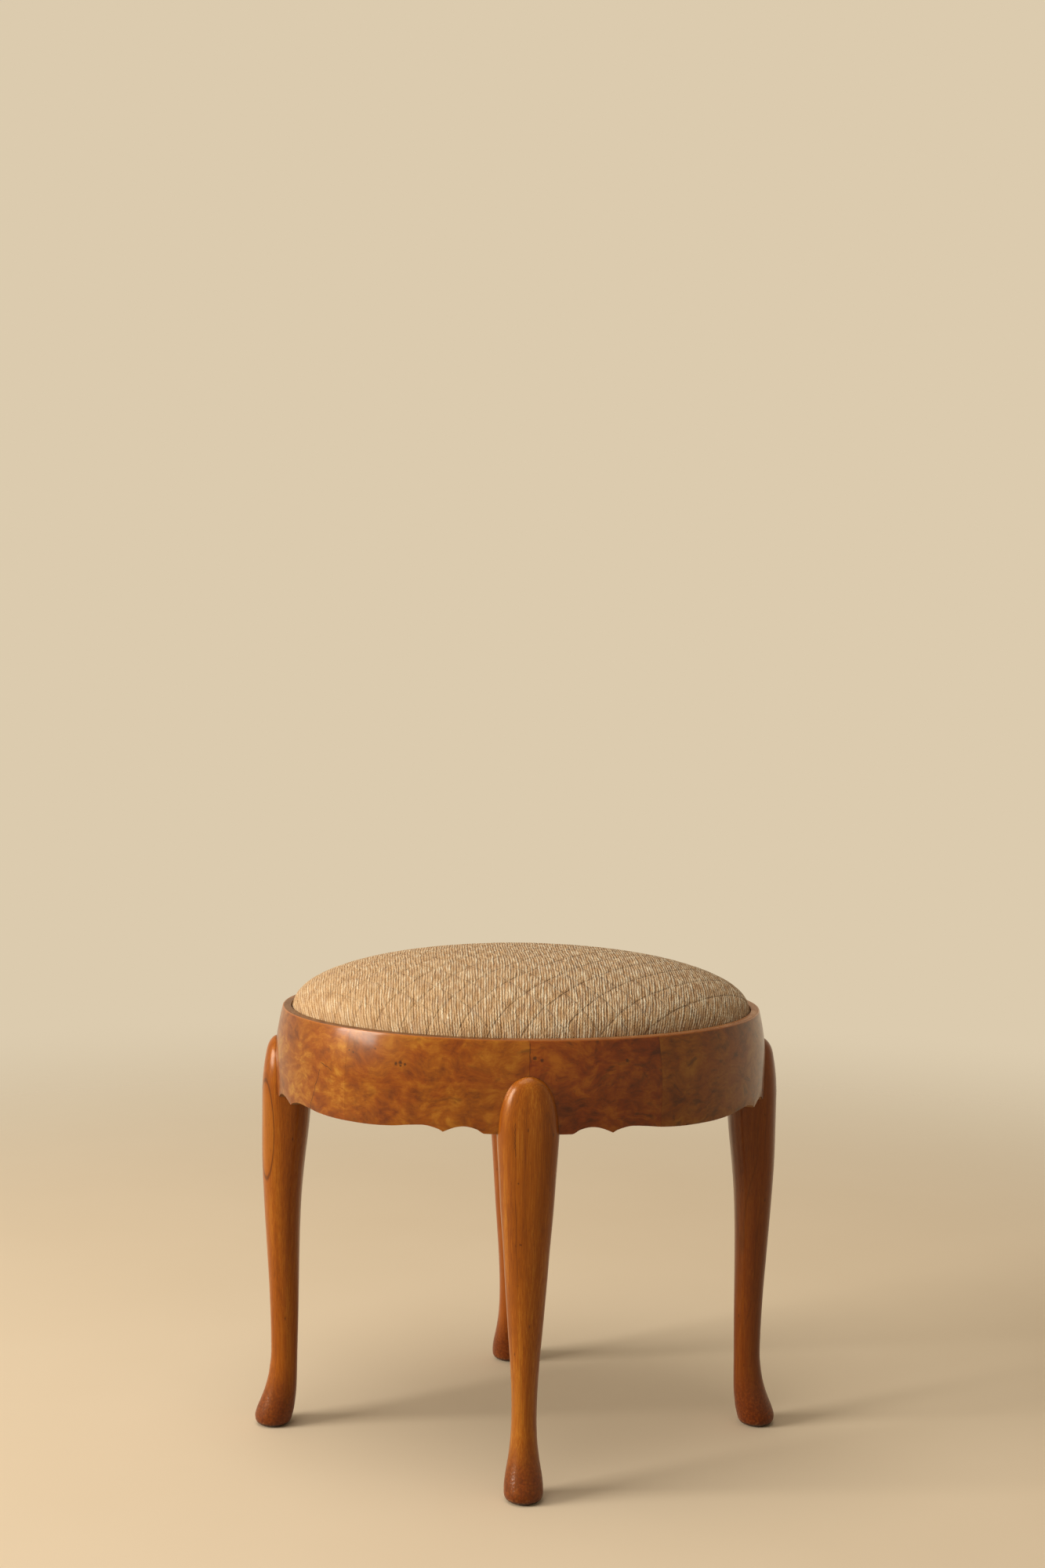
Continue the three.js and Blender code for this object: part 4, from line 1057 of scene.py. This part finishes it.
def cover_sheet():
    """The dome as a grid of even squares, with rows down its side and under the frame."""
    across = np.linspace(-1, 1, CELLS_ALONG + 1)
    away = np.linspace(-1, 1, CELLS_ACROSS + 1)
    u, v = np.meshgrid(across, away)
    disc = np.stack([u * np.sqrt(1 - v**2 / 2), v * np.sqrt(1 - u**2 / 2)], -1)
    share = np.hypot(disc[..., 0], disc[..., 1])
    # equal steps along the dome's curve
    reach = np.interp(share, dome_run / dome_run[-1], dome_reach) / np.where(share > 0, share, 1)
    rise = np.interp(share, dome_run / dome_run[-1], dome_rise)
    half_length, half_depth = HALF_LENGTH - COVER_INSET, HALF_DEPTH - COVER_INSET
    points = np.stack([
        half_length * disc[..., 0] * reach, half_depth * disc[..., 1] * reach, SPRINGING + COVER_CROWN * rise,
    ], -1).reshape(-1, 3)
    index = np.arange(len(points)).reshape(u.shape)
    quads = np.stack([index[:-1, :-1], index[:-1, 1:], index[1:, 1:], index[1:, :-1]], -1)
    quads = quads.reshape(-1, 4).tolist()
    edge = np.concatenate([index[0, :-1], index[:-1, -1], index[-1, :0:-1], index[:0:-1, 0]])
    rim = disc.reshape(-1, 2)[edge]
    rows = [points]
    last = edge
    for depth, height in SKIRT:
        row = np.stack([
            (half_length - depth) * rim[:, 0], (half_depth - depth) * rim[:, 1], np.full(len(edge), height),
        ], 1)
        new = np.arange(len(edge)) + sum(map(len, rows))
        rows.append(row)
        quads += np.stack([last, np.roll(last, -1), np.roll(new, -1), new], 1).tolist()
        last = new
    return np.concatenate(rows), quads


def read_vectors(mesh, field):
    """The places or normals of a mesh's points."""
    values = np.empty(len(mesh.vertices) * 3)
    mesh.vertices.foreach_get(field, values)
    return values.reshape(-1, 3)


def swell(piece):
    """The stuffing's push on the cloth: a short cloth simulation with the edge held."""
    start = read_vectors(piece.data, "co")
    normals = read_vectors(piece.data, "normal")
    darker_left_end = piece.vertex_groups.new(name="darker_left_end")
    darker_left_end.add([int(place) for place in np.flatnonzero(start[:, 2] < HELD_BELOW)], 1, "REPLACE")
    cloth = piece.modifiers.new("cloth", "CLOTH")
    cloth.settings.use_pressure = True
    cloth.settings.uniform_pressure_force = PRESSURE
    cloth.settings.effector_weights.gravity = 0
    cloth.settings.vertex_group_mass = "darker_left_end"
    cloth.collision_settings.use_collision = False
    cloth.point_cache.frame_end = SWELL_STEPS
    for step in range(1, SWELL_STEPS + 1):
        bpy.context.scene.frame_set(step)
    evaluated = piece.evaluated_get(bpy.context.evaluated_depsgraph_get())
    end = read_vectors(evaluated.data, "co")
    # outwards only, capped, and evened out between neighbours, because the cloth is taut
    lift = np.clip(((end - start) * normals).sum(1), 0, SWELL_CAP)
    pairs = np.empty(len(piece.data.edges) * 2, int)
    piece.data.edges.foreach_get("vertices", pairs)
    ends = np.concatenate([pairs.reshape(-1, 2), pairs.reshape(-1, 2)[:, ::-1]])
    neighbours = np.bincount(ends[:, 0], minlength=len(start))
    for _ in range(SMOOTHINGS):
        lift = (lift + np.bincount(ends[:, 0], lift[ends[:, 1]], len(start)) / neighbours) / 2
    piece.modifiers.clear()
    bpy.context.scene.frame_set(1)
    piece.data.vertices.foreach_set("co", (start + normals * lift[:, None]).ravel())
    piece.data.update()


# Chenille, woven: soft slubs of crinkled yarn, each paler or darker than the next, over dark gaps, in
# ribs from front to back, crossed by thin broken lattice lines. Matt, with a faint bloom. The real ribs
# are finer, and are drawn 2.6 mm apart so that they show. They wander over 12 mm and crinkle over 2 mm.
chenille = start_material("chenille_cloth_woven_lattice")
thread = put(chenille, "Attribute", {}, out="Vector", attribute_name="cloth_mm")
axes = put(chenille, "SeparateXYZ", {"Vector": thread}).node.outputs
wander_place = put(chenille, "Mapping", {"Vector": thread, "Scale": (0.08, 0.03, 1)})
wander = put(chenille, "TexNoise", {"Vector": wander_place, "Scale": 1, "Detail": 2})
drift = put(chenille, "Math", {0: wander, 1: RIB_DRIFT, 2: axes["X"]}, operation="MULTIPLY_ADD")
crinkle_place = put(chenille, "Mapping", {"Vector": thread, "Scale": (0.4, 0.5, 1)})
crinkle = put(chenille, "TexNoise", {"Vector": crinkle_place, "Scale": 1, "Detail": 2})
across = put(chenille, "Math", {0: crinkle, 1: 1.8, 2: drift}, operation="MULTIPLY_ADD")
from_gap = put(chenille, "Math", {0: across, 1: RIB_SPACING / 2}, operation="PINGPONG")
rib = put(chenille, "MapRange", {
    "Value": from_gap, "From Min": 0.1, "From Max": 0.9}, interpolation_type="SMOOTHSTEP")
# slubs one rib wide and 22 mm long, and beads of 1.4 by 1.8 mm along them
bent_thread = put(chenille, "CombineXYZ", {"X": across, "Y": axes["Y"]})
slub_place = put(chenille, "Mapping", {"Vector": bent_thread, "Scale": (0.38, 0.045, 1)})
slub = put(chenille, "TexNoise", {"Vector": slub_place, "Scale": 1, "Detail": 3, "Roughness": 0.65})
slubs = put(chenille, "MapRange", {"Value": slub, "From Min": 0.34, "From Max": 0.66})
bead_place = put(chenille, "Mapping", {"Vector": bent_thread, "Scale": (0.7, 0.55, 1)})
beads = put(chenille, "TexNoise", {"Vector": bead_place, "Scale": 1, "Detail": 3})
ribbed = put(chenille, "MixRGB", {"Fac": 0.42, "Color1": slubs, "Color2": rib})
beaded = put(chenille, "MixRGB", {"Fac": 0.34, "Color1": ribbed, "Color2": beads})
# painted light: towards the left, where the window's light falls straight on, the ribs' contrast is flattened
# (metres here)
across_seat = put(chenille, "SeparateXYZ", {"Vector": put(chenille, "TexCoord", out="Object")}, out="X")
wear_and_flat_light = put(chenille, "MapRange", {
    "Value": across_seat, "From Min": -0.2, "From Max": 0.08, "To Min": 0.5, "To Max": 0})
yarn = put(chenille, "MixRGB", {"Fac": wear_and_flat_light, "Color1": beaded, "Color2": (0.49, 0.49, 0.49, 1)})
cloth = put(chenille, "ValToRGB", {"Fac": yarn}, stops=[
    (0.24, linear("#936633")), (0.42, linear("#ba9061")),
    (0.58, linear("#dfbe91")), (0.76, linear("#fff3d6")),
])
# some yarns are faded to mauve
tint_place = put(chenille, "Mapping", {"Vector": thread, "Scale": (0.3, 0.05, 1), "Location": (60, 20, 0)})
tint = put(chenille, "TexNoise", {"Vector": tint_place, "Scale": 1, "Detail": 2})
mauve = put(chenille, "MapRange", {"Value": tint, "From Min": 0.52, "From Max": 0.66, "To Max": 0.2})
tinted = put(chenille, "MixRGB", {"Fac": mauve, "Color1": cloth, "Color2": linear("#b8a294")})
# the lattice, which follows the ribs' drift, is broken by pale slubs, and its painted groove shade fades
# towards the left, where the window's light falls straight on
lines = []
for hand, dark, _ in LATTICE_LINES:
    slant = put(chenille, "Math", {0: axes["Y"], 1: hand / DIAMOND_DEPTH}, operation="MULTIPLY")
    width = put(chenille, "Math", {0: drift, 1: 1 / DIAMOND_WIDTH, 2: slant}, operation="MULTIPLY_ADD")
    start = -(LATTICE_PLACE[0] + RIB_DRIFT / 2) / DIAMOND_WIDTH - hand * LATTICE_PLACE[1] / DIAMOND_DEPTH
    placed = put(chenille, "Math", {0: width, 1: start}, operation="ADD")
    away = put(chenille, "Math", {0: placed, 1: 0.5}, operation="PINGPONG")
    lines.append(put(chenille, "MapRange", {
        "Value": away, "From Min": 0.012, "From Max": 0.04, "To Min": dark, "To Max": 0}))
groove = put(chenille, "Math", {0: lines[0], 1: lines[1]}, operation="MAXIMUM")
broken = put(chenille, "MapRange", {
    "Value": slub, "From Min": 0.38, "From Max": 0.62, "To Min": 1, "To Max": 0.25})
groove_shade_strength = put(chenille, "MapRange", {
    "Value": across_seat, "From Min": -0.2, "From Max": 0.05, "To Min": 0.25, "To Max": 1})
unbroken_groove_shade = put(chenille, "Math", {0: broken, 1: groove_shade_strength}, operation="MULTIPLY")
groove_shown = put(chenille, "Math", {0: groove, 1: unbroken_groove_shade}, operation="MULTIPLY")
# painted shade in the lattice grooves, darker along one way of lines than the other, as the light falls from
# the left
lined = put(chenille, "MixRGB", {"Fac": groove_shown, "Color1": tinted, "Color2": linear("#67451f")})
pile = put(chenille, "Math", {0: yarn, 1: groove_shown}, operation="SUBTRACT")
bump = put(chenille, "Bump", {"Height": pile, "Strength": 1, "Distance": 0.0036})
shader = put(chenille, "BsdfPrincipled", {
    "Base Color": lined, "Roughness": 0.9, "Normal": bump, "Sheen Weight": 0.12, "Sheen Roughness": 0.4,
})
put(chenille, "OutputMaterial", {"Surface": shader})

cover = add_piece("seat_cover_cloth", cover_sheet(), chenille, crisp=3)
swell(cover)
fine = cover.modifiers.new("fine", "SUBSURF")
fine.levels = fine.render_levels = 2
settle(cover)

# the cloth's own coordinates: across the ribs and along them, counted over the dome
spots = read_vectors(cover.data, "co") * 1000
normals = read_vectors(cover.data, "normal")
plan = spots[:, :2] / (HALF_LENGTH - COVER_INSET, HALF_DEPTH - COVER_INSET)
share = np.clip(np.hypot(*plan.T), 1e-6, None)
over_dome = np.interp(np.clip(share, 0, 1), dome_reach, dome_run)
down_wall = dome_run[-1] + SPRINGING - spots[:, 2] + (1 - share) * mean_radius
stretch = np.where(spots[:, 2] > SPRINGING - 0.5, over_dome, down_wall) / (mean_radius * share)
# the ribs spread a little down the sides, because the cloth is strained outwards there
threads = spots[:, :2] * np.stack([stretch ** RIB_STRAIN, stretch], 1)
# and no thread lies quite straight: it sways by up to a millimetre and a half
x, y = threads.T
threads += 0.9 * np.stack([np.sin(y / 31 + 1) + 0.6 * np.sin(x / 23 + y / 41), 0.8 * np.sin(x / 37 + 2)], 1)
# the cloth dips along the lattice
sink = np.zeros(len(spots))
for hand, _, depth in LATTICE_LINES:
    at = (threads[:, 0] - LATTICE_PLACE[0]) / DIAMOND_WIDTH
    at += hand * (threads[:, 1] - LATTICE_PLACE[1]) / DIAMOND_DEPTH
    away = np.abs(at - np.round(at)) * DIAMOND_WIDTH * DIAMOND_DEPTH
    away /= np.hypot(DIAMOND_WIDTH, DIAMOND_DEPTH)
    sink = np.maximum(sink, depth * np.exp(-((away / LATTICE_SPREAD) ** 2)))
sink *= np.clip((spots[:, 2] - SPRINGING - 3) / 6, 0, 1) * LATTICE_SINK
cover.data.vertices.foreach_set("co", ((spots - normals * sink[:, None]) / 1000).ravel())

# the inner face: from the hem back out under the frame, up its side and over the stuffing
inner_half = np.array([HALF_LENGTH, HALF_DEPTH]) - COVER_INSET - CLOTH_THICKNESS
under = SKIRT[-1][1] + CLOTH_THICKNESS
# reach and height of each row of it
levels = [(1 - (TURN_UNDER - CLOTH_THICKNESS) / mean_radius, under), (1, under), (1, SPRINGING)]
for climb in np.linspace(0.08, 1.56, INNER_RINGS):
    levels.append((np.cos(climb), SPRINGING + (CROWN_HEIGHT - CLOTH_THICKNESS) * np.sin(climb)))
shape = bmesh.new()
shape.from_mesh(cover.data)
hem = [point for point in shape.verts if point.is_boundary]
hem.sort(key=lambda point: np.arctan2(point.co.y / inner_half[1], point.co.x / inner_half[0]))
towards = np.array([point.co[:2] for point in hem]) / inner_half
towards /= np.hypot(*towards.T)[:, None]
last = hem
for reach, height in levels:
    row = [shape.verts.new((*place, height / 1000)) for place in inner_half * towards * reach / 1000]
    for number in range(len(row)):
        shape.faces.new((last[number - 1], last[number], row[number], row[number - 1]))
    last = row
shape.faces.new(last)
bmesh.ops.recalc_face_normals(shape, faces=shape.faces)
shape.to_mesh(cover.data)
shape.free()
threads = np.vstack([threads, np.zeros((len(cover.data.vertices) - len(threads), 2))])
store = cover.data.attributes.new("cloth_mm", "FLOAT_VECTOR", "POINT")
store.data.foreach_set("vector", np.column_stack([threads, np.zeros(len(threads))]).ravel())
cover.data.shade_smooth()
fit(cover, "seat", "cover_cloth", "seat_cover")


# Dust cover. An oval of black glazed cambric tacked under the seat frame, which hides the webbing
# and catches the dust of the stuffing.

DUST_COVER_INSET = 28
DUST_COVER_BOTTOM = 408.2
DUST_COVER_TOP = 409
DUST_COVER_SAG = 0.6

# Cambric, glazed: soft black with a dull shine. Its yarns are drawn 0.9 mm apart so that they show.
cambric = woven("cambric_glazed_black", ("#12100e", "#35302b"), 0.9, 0.75)
sheet = oval_sheet(DUST_COVER_INSET, DUST_COVER_BOTTOM, DUST_COVER_TOP, DUST_COVER_SAG)
dust_cover = add_piece("dust_cover_cloth", sheet, cambric)
fit(dust_cover, "seat", "cambric", "dust_cover")


# Dust cover tacks. Steel tacks with domed heads, dulled like the screws, driven through the edge of the
# dust cover into the seat frame, two fingers' width apart.

TACK_COUNT = 34
TACK_INSET = 32
TACK_STRAY = 0.8
TACK_STRAY_TURN = 0.002
# radius and height from the cloth, shank first
TACK_PROFILE = (
    (0.05, 8.5), (0.45, 6), (0.7, 2.5), (0.8, 0.3),
    (3.1, 0), (3.1, -0.25), (2.7, -0.65), (1.9, -0.98), (0.9, -1.15), (0.05, -1.2),
)
AROUND_TACK = 16

tack_spots = np.interp((np.arange(TACK_COUNT) + 0.5) * PERIMETER / TACK_COUNT, DISTANCE_AT_TURN, turns)
tack_points, tack_faces = [], []
for order, spot in enumerate(tack_spots):
    # driven by eye, so no two stand quite alike
    stray = TACK_STRAY * np.sin(order * 2.4)
    turn = spot + TACK_STRAY_TURN * np.sin(order * 3.7)
    across = (HALF_LENGTH - TACK_INSET + stray) * np.cos(turn)
    away = (HALF_DEPTH - TACK_INSET + stray) * np.sin(turn)
    centre = np.array([across, away, DUST_COVER_BOTTOM])
    points, faces = loft(turned_rings(TACK_PROFILE, centre, (1, 0, 0), (0, 0, 1), AROUND_TACK))
    tack_faces += [[corner + len(tack_points) * len(points) for corner in face] for face in faces]
    tack_points.append(points)
tacks = add_piece("dust_cover_tacks", (np.concatenate(tack_points), tack_faces), screw_steel)
fit(tacks, "seat", "screw_steel")


# Studio. A pale floor that runs out into a pale backdrop, lit by a wide window far to the left and in
# front, a weak lamp overhead, and the room's own light, which is stronger from the window's side.
# Sizes and places are in metres.

FLOOR_RADIUS = 3
AROUND_FLOOR = 96
FLOOR_FADE = (0.7, 2.4)  # it runs out between these distances
FLOOR_TONES = ("#e9d9bd", "#f0e1c7")
FLOOR_BOUNCE = "#9c876a"
BACKDROP = "#dccbae"
ROOM_LIGHT = "#ffe9cb"
ROOM_STRENGTH = (0.42, 0.16)  # from the left and from the right
# place, width and height, watts and colour
LAMPS = {
    "window": ((-4, -1.2, 1.82), (1.8, 1.6), 152, "#fff4e6"),
    "overhead": ((-0.5, -0.4, 2.6), (1.8, 1.8), 24, "#fff6ea"),
}
LAMPS_AIM = (0, 0, 0.3)
CAMERA_PLACE = (-0.0905, -2.1797, 0.8088)
# angles in radians
CAMERA_DOWN = 0.0698
CAMERA_RIGHT = 0.0405
CAMERA_ROLL = 0.0143
LENS = 50  # millimetres, on a picture 36 mm high
PICTURE = 36

# Floor paint, matt: faintly mottled, and clear from below and far off.
floor_paint = start_material("floor_paint_matt")
place = put(floor_paint, "TexCoord", out="Object")
away = put(floor_paint, "VectorMath", {0: place}, out="Value", operation="LENGTH")
fade = put(floor_paint, "MapRange", {
    "Value": away, "From Min": FLOOR_FADE[0], "From Max": FLOOR_FADE[1]}, interpolation_type="SMOOTHSTEP")
mottle = put(floor_paint, "TexNoise", {"Vector": place, "Scale": 3, "Detail": 3})
tone = put(floor_paint, "MixRGB", {
    "Fac": mottle, "Color1": linear(FLOOR_TONES[0]), "Color2": linear(FLOOR_TONES[1])})
# the floor is shown pale, and throws less light back up at the legs than it shows
floor_rays = put(floor_paint, "LightPath").node.outputs
thrown = put(floor_paint, "MixRGB", {
    "Fac": floor_rays["Is Diffuse Ray"], "Color1": tone, "Color2": linear(FLOOR_BOUNCE)})
painted = put(floor_paint, "BsdfPrincipled", {"Base Color": thrown, "Roughness": 0.8})
clear = put(floor_paint, "BsdfTransparent")
seen_from_below = put(floor_paint, "NewGeometry", out="Backfacing")
gone = put(floor_paint, "Math", {0: fade, 1: seen_from_below}, operation="MAXIMUM")
floor_shown = put(floor_paint, "MixShader", {0: gone, 1: painted, 2: clear})
put(floor_paint, "OutputMaterial", {"Surface": floor_shown})
turn = even_turns(AROUND_FLOOR)
floor_points = 1000 * FLOOR_RADIUS * np.stack([np.cos(turn), np.sin(turn), 0 * turn], 1)
floor = add_piece("floor", (floor_points, [list(range(AROUND_FLOOR))]), floor_paint)
floor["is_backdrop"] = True

world = bpy.data.worlds.new("studio")
bpy.context.scene.world = world
world.use_nodes = True
world.node_tree.nodes.clear()
rays = put(world, "LightPath").node.outputs
shown = put(world, "Math", {0: rays["Is Camera Ray"], 1: rays["Is Glossy Ray"]}, operation="MAXIMUM")
shown = put(world, "Math", {0: shown, 1: rays["Is Transmission Ray"]}, operation="MAXIMUM")
from_left = put(world, "SeparateXYZ", {"Vector": put(world, "TexCoord", out="Generated")}, out="X")
fill = put(world, "MapRange", {
    "Value": from_left, "From Min": -1, "From Max": 1,
    "To Min": ROOM_STRENGTH[0], "To Max": ROOM_STRENGTH[1]})
room = put(world, "Background", {"Color": linear(ROOM_LIGHT), "Strength": fill})
backdrop = put(world, "Background", {"Color": linear(BACKDROP), "Strength": 1})
put(world, "OutputWorld", {"Surface": put(world, "MixShader", {0: shown, 1: room, 2: backdrop})})

for name, (place, size, power, colour) in LAMPS.items():
    light = bpy.data.lights.new(name, "AREA")
    light.shape = "RECTANGLE"
    light.size, light.size_y = size
    light.energy = power
    light.color = linear(colour)[:3]
    lamp = bpy.data.objects.new(name, light)
    lamp.location = place
    lamp.rotation_euler = (Vector(LAMPS_AIM) - Vector(place)).to_track_quat("-Z", "Y").to_euler()
    bpy.context.scene.collection.objects.link(lamp)

camera_data = bpy.data.cameras.new("camera")
camera_data.lens = LENS
camera_data.sensor_width = PICTURE
camera = bpy.data.objects.new("camera", camera_data)
aimed = Euler((np.pi / 2 - CAMERA_DOWN, 0, -CAMERA_RIGHT)).to_matrix() @ Matrix.Rotation(CAMERA_ROLL, 3, "Z")
camera.matrix_world = Matrix.LocRotScale(Vector(CAMERA_PLACE), aimed, None)
bpy.context.scene.collection.objects.link(camera)
bpy.context.scene.camera = camera
bpy.context.scene.view_settings.view_transform = "Standard"

low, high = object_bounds()
